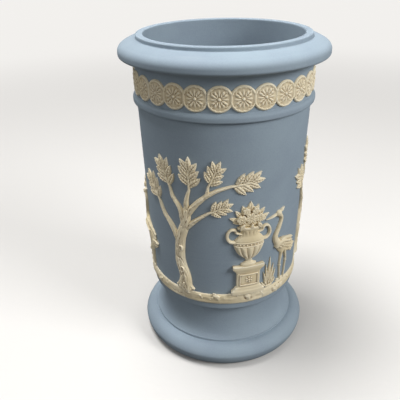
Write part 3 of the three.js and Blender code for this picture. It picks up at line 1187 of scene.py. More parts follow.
class Workshop:
    """The lathe, the moulds and the clays, and the bench where pieces are joined to the vase."""

    face_share: float = 0.36

    def __init__(self, sizes: VaseSizes) -> None:
        """Sets the workshop up.

        Args:
            sizes: The vase's sizes.
        """
        self.sizes = sizes
        self.clays = {Slot.BLUE: BlueClay().material(), Slot.WHITE: WhiteClay().material()}
        self.lathe = TurnTree()
        self.strokes = StrokeTree(smooth=True)
        self.mouldings = StrokeTree(smooth=False)
        self.leaves = LeafTree()
        self.bosses = BossTree()
        self.stones = StoneTree()
        self.wall = WallTree(sizes.wall)

    def place(self, mesh: Mesh, name: str, node: str, slot: Slot) -> None:
        """Puts a finished mesh on the vase in place of its plain solid.

        Args:
            mesh: The mesh, in metres and in its place.
            name: The piece's name.
            node: The solid that it stands for.
            slot: The clay that it is made of. Not used: the mesh already carries its material.
        """
        mesh.name = name
        mesh.shade_smooth()
        piece = bpy.data.objects.new(name, mesh)
        bpy.context.scene.collection.objects.link(piece)
        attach(piece, BODY)
        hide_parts(node)
        log.info("%s: %d faces", name, len(mesh.polygons))

    def turn(self, outline: Outline, name: str, node: str) -> None:
        """Turns a blue piece on the lathe and puts it in place of its solid."""
        mesh = self.lathe.made(marked_mesh(outline.points, []), material=self.clays[Slot.BLUE])
        self.place(mesh, name, node, Slot.BLUE)

    def bend(self, sprig: Mesh) -> Mesh:
        """The flat sprig bent round the front of the wall, in metres."""
        return thinned(self.wall.made(sprig, material=self.clays[Slot.WHITE]), self.face_share)

    def lay(self, bent: Mesh, name: str, node: str, facing: float) -> None:
        """Lays a copy of a bent sprig on the wall.

        Args:
            bent: The bent sprig.
            name: The piece's name.
            node: The solid that it stands for.
            facing: The direction that its middle faces, in radians from the front.
        """
        mesh = bent.copy()
        mesh.transform(Matrix.Rotation(facing, 4, "Z"))
        self.place(mesh, name, node, Slot.WHITE)


@dataclass(frozen=True)
class TurnedBody:
    """The vase's body: lip, rolled rim, neck, raised ring, tapered wall and floor, in one piece."""

    sizes: VaseSizes
    cove_drop: float = 1.0
    edge_inset: float = 2.1
    edge_drop: float = 3.3
    edge_height: float = 1.4
    shoulder_inset: float = 2.6
    shoulder_height: float = 2.8
    lip_round: float = 0.7
    ring_round: float = 0.9
    quirk: float = 0.2

    def outline(self) -> Outline:
        """Draws the outline from the middle underneath, up the outside and down the inside.

        Returns:
            The outline.
        """
        s, quirk = self.sizes, self.quirk
        outer, base = s.body_top_radius, s.body_base_radius
        ring, rim = outer + s.ring_projection, s.rim_radius
        inner, inner_base = outer - s.body_wall, base - s.body_wall
        lip, floor = inner + s.lip_width, s.foot_height + s.floor_thickness
        cove, edge = s.neck_top - self.cove_drop, s.rim_crest - self.edge_drop
        shoulder = s.rim_crest + self.shoulder_height
        return (
            Outline(0.0, s.foot_height)
            .line((base - s.ledge_round, s.foot_height), steps=12)
            .curve((base, s.foot_height), (base, s.wall_base), steps=6)
            .line((outer, s.wall_top - 2 * quirk), steps=44)
            .curve((outer - quirk, s.wall_top), (outer, s.wall_top), steps=5)
            .line((ring - self.ring_round, s.wall_top + quirk), steps=4)
            .curve((ring, s.wall_top + quirk), (ring, s.wall_top + self.ring_round + quirk), steps=6)
            .line((ring, s.wall_top + s.ring_height / 2), steps=3)
            .curve((ring, s.ring_top - s.ring_height / 6), (outer, s.ring_top), steps=12)
            .line((outer, cove), steps=12)
            .curve((outer, cove + 2 * self.cove_drop), (rim - 2 * self.edge_inset, edge - quirk),
                   (rim - self.edge_inset, edge), steps=16)
            .curve((rim - self.edge_inset / 3, edge + quirk), (rim, edge + self.edge_height / 2),
                   (rim, edge + self.edge_height + quirk), steps=12)
            .line((rim, s.rim_crest - self.edge_height / 2), steps=3)
            .curve((rim, s.rim_crest + self.edge_height / 2),
                   (rim - self.shoulder_inset / 3, shoulder - quirk * 4),
                   (rim - self.shoulder_inset, shoulder), steps=16)
            .curve((lip + self.shoulder_inset, s.groove - quirk), (lip + quirk, s.groove - quirk), steps=12)
            .line((lip, s.groove), steps=3)
            .line((lip, s.height - self.lip_round), steps=4)
            .curve((lip, s.height), (lip - self.lip_round, s.height), steps=6)
            .line((inner + self.lip_round, s.height), steps=4)
            .curve((inner, s.height), (inner, s.height - self.lip_round), steps=6)
            .line((inner, s.groove), steps=3)
            .line((inner, s.wall_top), steps=14)
            .line((inner_base, floor + s.floor_round), steps=30)
            .curve((inner_base, floor), (inner_base - s.floor_round, floor), steps=10)
            .line((0.0, floor), steps=14)
        )

    def build(self, shop: Workshop) -> None:
        """Turns the body."""
        shop.turn(self.outline(), "turned_body", "vase_body")


@dataclass(frozen=True)
class TurnedFoot:
    """The hollow spreading foot, turned apart from the body and joined under it with slip. Its shares
    say how high waist and crest lie, and where the curves of toe, torus, fillet and flare are pulled."""

    sizes: VaseSizes
    sole_edge: float = 0.4
    step_drop: float = 0.45
    step_rise: float = 0.75
    waist_share: float = 0.74
    crest_share: float = 0.57
    toe_share: Pair = (0.67, 0.6)
    torus_share: Pair = (0.16, 0.86)
    torus_end_share: float = 0.34
    fillet_share: Pair = (1.2, 1.6)
    flare_share: Pair = (0.2, 0.5)

    def outline(self) -> Outline:
        """Draws the outline from the sole's inner edge, up the outside and down the bore.

        Returns:
            The outline.
        """
        s = self.sizes
        top = s.body_base_radius - s.ledge_overhang
        waist = top - s.waist_inset
        toe, torus = s.foot_radius, s.torus_height
        step, sole = toe - s.torus_projection, toe - s.sole_rounding
        bore, bore_base = waist - s.foot_wall, sole - s.sole_width
        flare = s.foot_height - torus
        waist_height = torus + flare * self.waist_share
        crest = torus * self.crest_share
        toe_out, toe_up = self.toe_share
        torus_in, torus_up = self.torus_share
        fillet_start, fillet_end = self.fillet_share
        flare_start, flare_end = self.flare_share
        return (
            Outline(bore_base, self.sole_edge)
            .curve((bore_base, 0.0), (bore_base + self.sole_edge, 0.0), steps=4)
            .line((sole, 0.0), steps=8)
            .curve((sole + s.sole_rounding * toe_out, 0.0), (toe, crest * toe_up), (toe, crest), steps=18)
            .curve((toe - s.torus_projection * torus_in, torus * torus_up),
                   (step + s.torus_projection * self.torus_end_share, torus),
                   (step, torus - self.step_drop), steps=18)
            .line((step - self.step_drop / 3, torus + self.step_rise), steps=5)
            .curve((step - s.step_width, torus + self.step_rise * fillet_start),
                   (step - s.step_width * fillet_end, torus + self.step_rise * fillet_end), steps=5)
            .curve((waist + s.step_width, torus + flare * flare_start), (waist, torus + flare * flare_end),
                   (waist, waist_height), steps=26)
            .curve((waist, s.foot_height), (top, s.foot_height), steps=14)
            .line((bore, s.foot_height), steps=6)
            .line((bore, waist_height), steps=6)
            .curve((bore, torus), (bore_base, self.sole_edge), steps=24)
        )

    def build(self, shop: Workshop) -> None:
        """Turns the foot."""
        shop.turn(self.outline(), "turned_foot", "foot")


@dataclass(frozen=True)
class RosetteBorder:
    """The border of round rosettes on the neck, pressed in strips of three. The strips are laid butt
    to butt from the front round to the front, where a seam is left."""

    sizes: VaseSizes
    mould: Mould = Mould(grain=0.13, softening=2)
    disc_height: float = 0.68
    disc: BossCut = BossCut(flatness=9.0)
    rim_inset: float = 0.62
    rim_half_width: float = 0.5
    rim_height: float = 0.92
    rim_cut: StrokeCut = StrokeCut(step=0.3)
    rim_points: int = 30
    wreath_leaves: int = 15
    wreath_slant: float = 14.0
    wreath_inset: float = 1.05
    wreath_leaf: LeafCut = LeafCut(length=1.9, half_width=0.46, height=1.0, stalk=0.4, rib=0.0, veins=0.0)
    petals: int = 4
    petal: LeafCut = LeafCut(
        length=4.75, half_width=1.62, height=1.15, widest=0.62, stalk=0.3, rib=0.5, veins=0.16,
        vein_count=3.0)
    bud: LeafCut = LeafCut(length=4.4, half_width=0.66, height=1.0, widest=0.7, stalk=0.3, rib=0.0, veins=0.0)
    heart_radius: float = 0.95
    heart_height: float = 1.3

    @property
    def pitch(self) -> float:
        """Distance between two rosettes round the neck."""
        count = self.sizes.border_strips * self.sizes.rosettes_per_strip
        return (TURN * self.sizes.body_top_radius - self.sizes.sprig_gap) / count

    def sprig(self, shop: Workshop) -> Mesh:
        """Presses one strip.

        Args:
            shop: The workshop.

        Returns:
            The flat strip.
        """
        radius, count = self.sizes.rosette_radius, self.sizes.rosettes_per_strip
        turns = [360 / self.rim_points * k for k in range(self.rim_points)]
        ring = tuple(polar(0.0, 0.0, degrees, radius - self.rim_inset) for degrees in turns)
        rim = Stroke(ring, (self.rim_half_width,), (self.rim_height,), closed=True)
        rims, discs, wreath, petals, buds, hearts = [], [], [], [], [], []
        for number in range(count):
            centre = (self.pitch * (number - (count - 1) / 2), self.sizes.border_middle)
            rims.append(rim.moved(*centre))
            discs.append(Mark(*centre, size=radius, height=self.disc_height))
            for k in range(self.wreath_leaves):
                degrees = 360 * k / self.wreath_leaves
                root = polar(*centre, degrees, radius - self.wreath_inset)
                wreath.append(Mark(*root, turn=degrees + 90 - self.wreath_slant))
            for k in range(self.petals):
                petals.append(Mark(*centre, turn=360 * (k + 0.5) / self.petals))
                buds.append(Mark(*centre, turn=360 * k / self.petals))
            hearts.append(Mark(*centre, size=self.heart_radius, height=self.heart_height))
        forms = [
            shop.bosses.cut(discs, self.disc),
            shop.strokes.laid(rims, self.rim_cut),
            shop.leaves.cut(wreath, self.wreath_leaf),
            shop.leaves.cut(petals, self.petal),
            shop.leaves.cut(buds, self.bud),
            shop.bosses.cut(hearts, BossCut()),
        ]
        return self.mould.pressed(forms, self.pitch * count / 2)

    def build(self, shop: Workshop) -> None:
        """Lays the strips round the neck.

        Args:
            shop: The workshop.
        """
        bent = shop.bend(self.sprig(shop))
        per_strip = self.pitch * self.sizes.rosettes_per_strip
        for k in range(self.sizes.border_strips):
            laid = (k + 0.5) * per_strip + self.sizes.sprig_gap / 2
            facing = self.sizes.border_turn + laid / self.sizes.body_top_radius
            shop.lay(bent, f"rosettes_{k + 1}", f"border_strip_{k + 1}", facing)


@dataclass(frozen=True)
class GroundBand:
    """The uneven ground that the scenes stand on, laid in six lengths."""

    sizes: VaseSizes
    mould: Mould = Mould(grain=0.17, softening=3)
    soil: StrokeCut = StrokeCut(squareness=2.8, facets=56, grain=0.5, grain_width=2.2)
    rocks: StoneCut = StoneCut(density=0.014, smallest=1.1, largest=1.8, seed=31)
    pebbles: StoneCut = StoneCut(density=0.06, smallest=0.3, largest=0.7, seed=11)
    steps: int = 12
    dip: float = 0.06
    shift: float = 1.7
    fullness: float = 0.78
    bare_share: float = 0.42

    def sprig(self, shop: Workshop, number: int) -> Mesh:
        """Presses one length.

        Args:
            shop: The workshop.
            number: Which length it is.

        Returns:
            The flat length.
        """
        s = self.sizes
        reach = math.pi * s.body_top_radius / s.ground_strips
        line, half_widths = [], []
        for k in range(-1, self.steps + 2):
            wave = 1 + math.sin(TURN * k / self.steps + number * self.shift)
            top = s.ground_top - s.ground_height * self.dip * wave
            line.append((reach * (2 * k / self.steps - 1), (top + s.ground_base) / 2))
            half_widths.append((top - s.ground_base) / 2)
        band = Stroke(tuple(line), tuple(half_widths), (s.ground_thickness * self.fullness,))
        form = shop.strokes.laid([band], self.soil)
        bare = s.ground_base + s.ground_height * self.bare_share
        for stones in (self.rocks, self.pebbles):
            form = shop.stones.made(form, replace(stones, lowest=bare, seed=stones.seed + number))
        return self.mould.pressed([form], reach)

    def build(self, shop: Workshop) -> None:
        """Lays the lengths round the wall.

        Args:
            shop: The workshop.
        """
        strips = self.sizes.ground_strips
        for k in range(strips):
            bent = shop.bend(self.sprig(shop, k))
            shop.lay(bent, f"ground_{k + 1}", f"ground_strip_{k + 1}", TURN * k / strips)


class Motif:
    """A part of the scene that is pressed in a mould of its own and laid three times round the vase.
    It is drawn in millimetres, with the ground at height 0."""

    name: str
    node: str
    mould: Mould

    def forms(self, shop: Workshop) -> list[Mesh]:
        """The flat forms that its mould is cut with."""
        raise NotImplementedError

    def build(self, shop: Workshop) -> None:
        """Presses the motif and lays it round the wall.

        Args:
            shop: The workshop.
        """
        sprig = self.mould.pressed(self.forms(shop))
        sprig.transform(Matrix.Translation(Vector((0.0, shop.sizes.ground_top, 0.0))))
        bent = shop.bend(sprig)
        repeats = shop.sizes.scene_repeats
        for k in range(repeats):
            shop.lay(bent, f"{self.name}_{k + 1}", f"{self.node}_{k + 1}", TURN * k / repeats)


@dataclass(frozen=True)
class LaurelTree(Motif):
    """The laurel tree's trunk and boughs, with furrowed bark, knots and spreading roots."""

    name: str = "trunk_and_boughs"
    node: str = "tree"
    mould: Mould = Mould(grain=0.14, softening=2)
    trunk: Stroke = Stroke(
        ((-21, 0.3), (-20.6, 8), (-23, 18), (-22, 30), (-18.8, 39.5), (-17.6, 47)),
        (4.4, 3.4, 3, 2.8, 2.5, 2), (2.6, 2.4, 2.2, 2.2, 2, 1.8))
    boughs: tuple[Stroke, ...] = (
        Stroke(((-22.2, 27), (-27, 36), (-31.5, 41), (-34.5, 47)), (2, 1.4, 1.1, 0.7), (1.9, 1.7, 1.4, 1.1)),
        Stroke(((-19.4, 38), (-21.5, 47), (-25.2, 52), (-26.5, 56.5)),
               (1.9, 1.3, 1, 0.7), (1.8, 1.6, 1.4, 1.1)),
        Stroke(((-17.8, 45), (-17.6, 52), (-16, 57.5)), (1.8, 1.2, 0.7), (1.7, 1.4, 1.1)),
        Stroke(((-18, 44), (-11, 52.5), (-3.5, 58), (3.5, 60.5)), (1.9, 1.3, 1, 0.7), (1.8, 1.6, 1.4, 1.1)),
        Stroke(((-11.5, 51.5), (-8, 55.5), (-6.8, 60)), (1.2, 0.9, 0.6), (1.5, 1.3, 1.1)),
        Stroke(((-19.4, 36), (-13, 42), (-7, 46.5)), (1.7, 1.1, 0.7), (1.7, 1.4, 1.1)),
    )
    roots: tuple[Stroke, ...] = (
        Stroke(((-22.6, 5), (-24.2, 2.2), (-26.4, 0.4)), (1.6, 1.2, 0.6), (2.2, 1.7, 0.9)),
        Stroke(((-20.6, 5), (-20.9, 2), (-22, 0)), (1.2, 1, 0.7), (2.9, 2.6, 1.6)),
        Stroke(((-19, 5.4), (-17.6, 2.2), (-15.4, 0.5)), (1.6, 1.2, 0.6), (2.2, 1.7, 0.9)),
    )
    trunk_bark: StrokeCut = StrokeCut(squareness=2.2, facets=90, grain=0.4, grain_width=1.25, furrows=0.5)
    bough_bark: StrokeCut = StrokeCut(squareness=2.2, facets=48, grain=0.25, grain_width=0.9, furrows=0.36)
    root_bark: StrokeCut = StrokeCut(squareness=2.2, grain=0.25, grain_width=0.9, furrows=0.36)
    knots: tuple[Mark, ...] = (
        Mark(-21.2, 12.6, size=0.55, height=2.3), Mark(-21.4, 25.2, size=0.55, height=2.3))
    knot_reach: Pair = (0.95, 1.5)
    knot_points: int = 8
    knot_half_width: float = 0.5
    knot_heights: Triple = (2.6, 2.35, 2.5)
    knot_bark: StrokeCut = StrokeCut(grain=0.5, grain_width=0.8)

    def forms(self, shop: Workshop) -> list[Mesh]:
        """Cuts the trunk, boughs, roots and knots.

        Args:
            shop: The workshop.

        Returns:
            The forms.
        """
        wide, tall = self.knot_reach
        turns = [math.radians(360 * k / self.knot_points) for k in range(self.knot_points)]
        ring = tuple((wide * math.cos(turn), tall * math.sin(turn)) for turn in turns)
        knot = Stroke(ring, (self.knot_half_width,), self.knot_heights, closed=True)
        return [
            shop.strokes.laid([self.trunk], self.trunk_bark),
            shop.strokes.laid(self.boughs, self.bough_bark),
            shop.strokes.laid(self.roots, self.root_bark),
            shop.strokes.laid([knot.moved(mark.across, mark.up) for mark in self.knots], self.knot_bark),
            shop.bosses.cut(self.knots, BossCut()),
        ]


@dataclass(frozen=True)
class LaurelSpray(Motif):
    """A twig with three pairs of laurel leaves, one at its end, and berries."""

    name: str
    node: str
    start: Pair
    turn: float
    size: float
    mould: Mould = Mould(grain=0.12, softening=2)
    twig: float = 10.0
    twig_half_widths: Pair = (0.62, 0.42)
    twig_heights: Pair = (1.15, 0.9)
    twig_cut: StrokeCut = StrokeCut(step=0.3)
    overlap: float = 0.4
    bare: float = 0.5
    pairs: tuple[Pair, ...] = ((0.16, 50), (0.48, 44), (0.8, 36))
    stagger: float = 0.05
    variety: float = 0.05
    share_beat: float = 7.0
    side_beat: float = 2.0
    tilt: float = 0.08
    leaf: LeafCut = LeafCut(length=7.2, half_width=1.62, height=1.25, stalk=0.22, rib=0.45, veins=0.14)
    end_share: float = 0.95
    end_size: float = 0.88
    berry_turn: float = 88.0
    berry_reach: float = 1.25
    berry_radius: float = 0.52
    berry_height: float = 0.95

    def on_twig(self, share: float) -> Pair:
        """A point along the twig."""
        return polar(*self.start, self.turn, self.bare + self.twig * self.size * share)

    def forms(self, shop: Workshop) -> list[Mesh]:
        """Cuts the twig, leaves and berries.

        Args:
            shop: The workshop.

        Returns:
            The forms.
        """
        start = polar(*self.start, self.turn, -self.overlap)
        end = polar(*self.start, self.turn, self.twig * self.size)
        twig = Stroke((start, end), self.twig_half_widths, self.twig_heights)
        leaves, berries = [], []
        for share, spread in self.pairs:
            for side in (-1, 1):
                root = self.on_twig(share + side * self.stagger)
                beat = math.sin(self.share_beat * share + self.side_beat * side + self.turn)
                size = self.size * (1.0 + self.variety * beat)
                turn = self.turn + side * spread
                leaves.append(Mark(*root, turn=turn, size=size, height=1.0 + self.tilt * side))
                berry = polar(*root, self.turn + side * self.berry_turn, self.berry_reach)
                berries.append(Mark(*berry, size=self.berry_radius * self.size, height=self.berry_height))
        leaves.append(Mark(*self.on_twig(self.end_share), turn=self.turn, size=self.size * self.end_size))
        return [
            shop.strokes.laid([twig], self.twig_cut),
            shop.leaves.cut(leaves, self.leaf),
            shop.bosses.cut(berries, BossCut()),
        ]


@dataclass(frozen=True)
class Plinth(Motif):
    """The moulded pedestal, with a framed panel and a small flower on its die."""

    name: str = "pedestal"
    node: str = "plinth"
    mould: Mould = Mould(grain=0.15, softening=1)
    middle: float = 13.0
    levels: tuple[Level, ...] = (
        Level(0.3, 8.8, 2.5), Level(2.3, 8.8, 2.5), Level(2.5, 8.2, 2.4), Level(3.2, 7.5, 2.2),
        Level(4.0, 7.2, 2.15), Level(4.4, 6.5, 1.95), Level(4.8, 6.2, 1.8), Level(13.2, 6.2, 1.8),
        Level(13.5, 6.6, 1.95), Level(14.0, 6.7, 2.0), Level(14.8, 7.5, 2.25), Level(15.4, 8.2, 2.45),
        Level(17.1, 8.2, 2.5))
    block: StrokeCut = StrokeCut(squareness=16.0, step=0.25)
    panel: Stroke = Stroke(((-4.6, 5.9), (4.6, 5.9), (4.6, 12.1), (-4.6, 12.1)), (0.42,), (2.3,), closed=True)
    panel_cut: StrokeCut = StrokeCut(step=0.3)
    heart: Mark = Mark(13.0, 9.0, size=0.7, height=2.6)
    petals: int = 6
    petal: LeafCut = LeafCut(
        length=2.6, half_width=0.66, height=2.35, widest=0.6, stalk=0.4, rib=0.2, veins=0.0)

    def forms(self, shop: Workshop) -> list[Mesh]:
        """Cuts the block with its mouldings, the panel's frame and the flower.

        Args:
            shop: The workshop.

        Returns:
            The forms.
        """
        turns = [360 * (k + 0.5) / self.petals for k in range(self.petals)]
        petals = [Mark(self.heart.across, self.heart.up, turn=turn) for turn in turns]
        return [
            shop.mouldings.stood(self.middle, self.levels, self.block),
            shop.mouldings.laid([self.panel.moved(self.middle)], self.panel_cut),
            shop.leaves.cut(petals, self.petal),
            shop.bosses.cut([self.heart], BossCut()),
        ]


@dataclass(frozen=True)
class Urn(Motif):
    """The urn in half relief: fluted belly, beaded shoulder, waisted neck and two scrolled handles."""

    name: str = "handled_urn"
    node: str = "urn"
    mould: Mould = Mould(grain=0.13, softening=1)
    middle: float = 13.0
    levels: tuple[Level, ...] = (
        Level(17.4, 4.2, 2), Level(18.4, 4.1, 2), Level(18.7, 3.1, 1.8), Level(19.6, 1.7, 1.4),
        Level(20.3, 1.3, 1.3), Level(20.6, 1.9, 1.6), Level(21, 1.9, 1.6), Level(21.3, 1.6, 1.5),
        Level(22, 3.3, 1.9, 0.4), Level(23.4, 5.0, 2.2, 0.6), Level(25, 6.3, 2.45, 0.65),
        Level(27, 7.3, 2.6, 0.65), Level(28.4, 7.7, 2.65, 0.5), Level(28.7, 7.75, 2.7),
        Level(28.8, 8.0, 3.05), Level(29.2, 8.0, 3.05), Level(29.3, 7.7, 2.7), Level(30.7, 7.7, 2.7),
        Level(30.8, 8.0, 3.05), Level(31.2, 7.9, 3.05), Level(31.3, 7.6, 2.8), Level(32, 7.5, 2.9),
        Level(33.4, 6.3, 2.7), Level(34.6, 4.9, 2.4), Level(35.6, 4.4, 2.25, 0.2),
        Level(36.6, 4.3, 2.2, 0.3), Level(37.6, 5.0, 2.35, 0.2), Level(38.1, 6.0, 2.5),
        Level(38.3, 6.3, 2.75), Level(39.5, 6.3, 2.75))
    belly: StrokeCut = StrokeCut(facets=180, step=0.15, flutes=7.0)
    handle: Stroke = Stroke(
        ((7.1, 31), (9.4, 31.2), (10.9, 33), (10.8, 35.8), (9.2, 37.8), (7.1, 37.6), (6.6, 36.2),
         (4.1, 35.4)),
        (0.9, 0.8, 0.75, 0.7, 0.7, 0.65), (1.6, 1.5, 1.4, 1.4, 1.4, 1.5))
    handle_cut: StrokeCut = StrokeCut(step=0.3)
    beads: int = 13
    bead: BossCut = BossCut(flatness=2.8)
    bead_up: float = 30.0
    bead_across: float = 7.5
    bead_size: float = 0.56
    bead_stand: float = 3.2

    def forms(self, shop: Workshop) -> list[Mesh]:
        """Cuts the vessel, its handles, and the beads round its shoulder.

        Args:
            shop: The workshop.

        Returns:
            The forms.
        """
        power = self.belly.squareness
        beads = []
        for k in range(self.beads):
            share = math.cos(math.pi * (k + 0.5) / self.beads)
            across = self.middle - self.bead_across * share
            out = self.bead_stand * (1 - abs(share) ** power) ** (1 / power)
            beads.append(Mark(across, self.bead_up, size=self.bead_size, height=out))
        handles = [handle.moved(self.middle) for handle in (self.handle.mirrored(), self.handle)]
        return [
            shop.mouldings.stood(self.middle, self.levels, self.belly),
            shop.strokes.laid(handles, self.handle_cut),
            shop.bosses.cut(beads, self.bead),
        ]


@dataclass(frozen=True)
class Bouquet(Motif):
    """Leaves and flowers standing in the urn's mouth, with small leaves hanging over its lip. A leaf
    is given by (across, turn, length), a flower by (across, up, radius)."""

    name: str = "flowers"
    node: str = "bouquet"
    mould: Mould = Mould(grain=0.12, softening=1)
    middle: float = 13.0
    mouth: float = 41.4
    leaf: LeafCut = LeafCut(length=8.0, height=1.0, widest=0.5, stalk=0.3, rib=0.4, veins=0.12)
    leaves: tuple[Triple, ...] = (
        (-3.4, 158, 7.2), (-2.9, 178, 5.6), (-2, 130, 8.4), (-1, 109, 9.4), (0, 90, 11), (1, 71, 9.4),
        (2, 50, 8.4), (2.9, 2, 5.6), (3.4, 22, 7.2))
    hanging_leaf: LeafCut = LeafCut(
        length=8.0, half_width=2.1, height=0.5, widest=0.5, stalk=0.3, rib=0.3, veins=0.0, lift=2.6,
        droop=0.05)
    hanging: tuple[Triple, ...] = ((-3.2, 236, 3.6), (3.2, 304, 3.6), (0.4, 268, 3.2))
    flowers: tuple[Triple, ...] = (
        (-4.3, 43.4, 2.5), (4.3, 43.4, 2.5), (-2.2, 47.6, 1.9), (2.3, 47.4, 1.9), (0, 43.9, 3.0))
    flower_twist: float = 17.0
    petals: int = 6
    petal: LeafCut = LeafCut(
        length=1.0, half_width=0.37, height=0.55, widest=0.66, stalk=0.3, rib=0.35, veins=0.0, lift=1.45)
    petal_swell: float = 0.03
    heart_share: float = 0.3
    heart_height: float = 2.3
    stalks: Stroke = Stroke(((-4.6, 40.7), (4.6, 40.7)), (1.35,), (1.7,))
    stalk_cut: StrokeCut = StrokeCut(facets=48, grain=0.5, grain_width=0.7)

    def fan(self, leaves: Sequence[Triple]) -> list[Mark]:
        """Marks for some of the leaves."""
        length = self.leaf.length
        return [Mark(self.middle + out, self.mouth, turn, far / length) for out, turn, far in leaves]

    def forms(self, shop: Workshop) -> list[Mesh]:
        """Cuts the leaves, the flowers' petals and hearts, and the stalks in the mouth.

        Args:
            shop: The workshop.

        Returns:
            The forms.
        """
        petals, hearts = [], []
        for k, (out, up, radius) in enumerate(self.flowers):
            spot = (self.middle + out, up)
            hearts.append(Mark(*spot, size=self.heart_share * radius, height=self.heart_height))
            for p in range(self.petals):
                turn = 360 * p / self.petals + self.flower_twist * k
                petals.append(Mark(*spot, turn=turn, size=radius, height=1.0 + self.petal_swell * radius))
        return [
            shop.leaves.cut(self.fan(self.leaves), self.leaf),
            shop.leaves.cut(self.fan(self.hanging), self.hanging_leaf),
            shop.leaves.cut(petals, self.petal),
            shop.bosses.cut(hearts, BossCut()),
            shop.strokes.laid([self.stalks.moved(self.middle)], self.stalk_cut),
        ]


@dataclass(frozen=True)
class FeatherRow:
    """A row of feathers: where along the wing it starts, how many it has, how far apart they are, by
    how many degrees they fan, how long they are and how far out they lie."""

    start: float
    count: int
    gap: float
    fan: float
    length: float
    lift: float

    @property
    def cut(self) -> LeafCut:
        """How its feathers are cut."""
        return LeafCut(length=self.length, half_width=0.98, height=0.5, widest=0.6, stalk=0.55, rib=-0.14,
                       veins=0.07, vein_count=self.length, lift=self.lift, droop=0.22)


@dataclass(frozen=True)
class Crane(Motif):
    """The wading bird that faces the urn: body, neck, head, folded wing, tail plumes and legs. Its
    places across are measured from its middle."""

    name: str = "bird"
    node: str = "crane"
    mould: Mould = Mould(grain=0.12, softening=1)
    middle: float = 36.5
    trunk: tuple[Stroke, ...] = (
        Stroke(((6.5, 16.6), (2, 19.6), (-2.5, 22), (-6.4, 24.2)), (0.9, 3.6, 4.2, 2), (0.8, 1.2, 1.6, 1.6)),
        Stroke(((-5.4, 23.6), (-8.4, 28.6), (-6.4, 34), (-5, 38.6), (-7, 41.6)),
               (2.4, 1.5, 1.1, 1, 1.2), (1.9, 1.7, 1.5, 1.4, 1.5)),
        Stroke(((-7.4, 22.4), (-6.3, 24.6), (-3.6, 25.3), (-0.6, 24.2), (2.2, 22.8)),
               (1.2, 1.6, 1.4, 0.9, 0.4), (1.9, 2.4, 2.6, 2.5, 2.2)),
    )
    plumage: StrokeCut = StrokeCut(grain=0.16, grain_width=0.7)
    legs: tuple[Stroke, ...] = (
        Stroke(((-2.6, 19.5), (-3.2, 14), (-3.4, 10), (-2.4, 0.4)),
               (1.2, 0.65, 0.55, 0.5), (1.5, 1.2, 1.1, 1.1)),
        Stroke(((-0.4, 19), (1.2, 14), (1.6, 11), (0.8, 0.4)), (1.2, 0.65, 0.55, 0.5), (1.5, 1.2, 1.1, 1.1)),
    )
    leg_cut: StrokeCut = StrokeCut(step=0.3)
    head: Mark = Mark(-7.2, 41.8, size=1.75, height=1.9)
    knees: tuple[Mark, ...] = (Mark(-3.4, 10, size=0.8, height=1.35), Mark(1.6, 11, size=0.8, height=1.35))
    eye: Mark = Mark(-7.6, 42.2, size=0.32, height=2.15)
    toes: tuple[Mark, ...] = tuple(
        Mark(across, 0.9, turn, size)
        for across in (-2.4, 0.8) for turn, size in ((186, 1.0), (168, 0.8), (352, 0.5)))
    toe: LeafCut = LeafCut(length=3.5, half_width=0.5, height=0.95, widest=0.3, stalk=0.7, rib=0.0, veins=0.0)
    plumes: tuple[Mark, ...] = tuple(
        Mark(1.6, 18.6, turn, size) for turn, size in ((-4, 1.0), (-20, 0.95), (-38, 0.82)))
    plume: LeafCut = LeafCut(length=8.5, height=1.8, widest=0.5, stalk=0.4, rib=0.3, vein_count=8.0)
    bill: Mark = Mark(-7.6, 41.7, turn=190)
    bill_cut: LeafCut = LeafCut(
        length=7.6, half_width=0.8, widest=0.2, stalk=0.9, tip=0.15, rib=0.0, veins=0.0)
    crest: tuple[Mark, ...] = (Mark(-6.9, 42.6, turn=24), Mark(-6.9, 42.6, turn=6, size=0.8))
    crest_cut: LeafCut = LeafCut(length=4.0, half_width=0.6, widest=0.4, rib=0.0, veins=0.0)
    wing_root: Pair = (-6.0, 25.0)
    wing_turn: float = -26.0
    rows: tuple[FeatherRow, ...] = (
        FeatherRow(5.6, 5, 1.3, fan=17.0, length=9.0, lift=1.05),
        FeatherRow(3.6, 5, 1.25, fan=12.0, length=6.8, lift=1.4),
        FeatherRow(1.9, 5, 1.15, fan=9.0, length=4.9, lift=1.75),
        FeatherRow(0.5, 4, 1.2, fan=5.0, length=3.5, lift=2.05),
    )
    row_bow: float = 0.25
    row_fall: float = 0.05

    def feathers(self, row: FeatherRow) -> list[Mark]:
        """Marks for one row of the wing, bowed and lower towards its ends.

        Args:
            row: The row.

        Returns:
            The marks.
        """
        marks = []
        for k in range(row.count):
            place = k - (row.count - 1) / 2
            spot = polar(*self.wing_root, self.wing_turn, row.start - self.row_bow * place * place)
            root = polar(*spot, self.wing_turn + 90, place * row.gap)
            turn = self.wing_turn + place * row.fan / row.count
            marks.append(Mark(*root, turn=turn, height=1.0 - self.row_fall * place * place))
        return marks

    def at(self, pieces: Sequence[Stroke] | Sequence[Mark]) -> list[Stroke] | list[Mark]:
        """Strokes or marks of the bird's own drawing, in the scene's."""
        return [piece.moved(self.middle) for piece in pieces]

    def forms(self, shop: Workshop) -> list[Mesh]:
        """Cuts the bird, with each row of feathers lying on the one behind it.

        Args:
            shop: The workshop.

        Returns:
            The forms.
        """
        forms = [
            shop.strokes.laid(self.at(self.trunk), self.plumage),
            shop.strokes.laid(self.at(self.legs), self.leg_cut),
            shop.bosses.cut(self.at((self.head, *self.knees, self.eye)), BossCut()),
        ]
        leaves = [
            (self.toes, self.toe),
            (self.plumes, self.plume),
            ([self.bill], self.bill_cut),
            (self.crest, self.crest_cut),
        ] + [(self.feathers(row), row.cut) for row in self.rows]
        return forms + [shop.leaves.cut(self.at(marks), cut) for marks, cut in leaves]


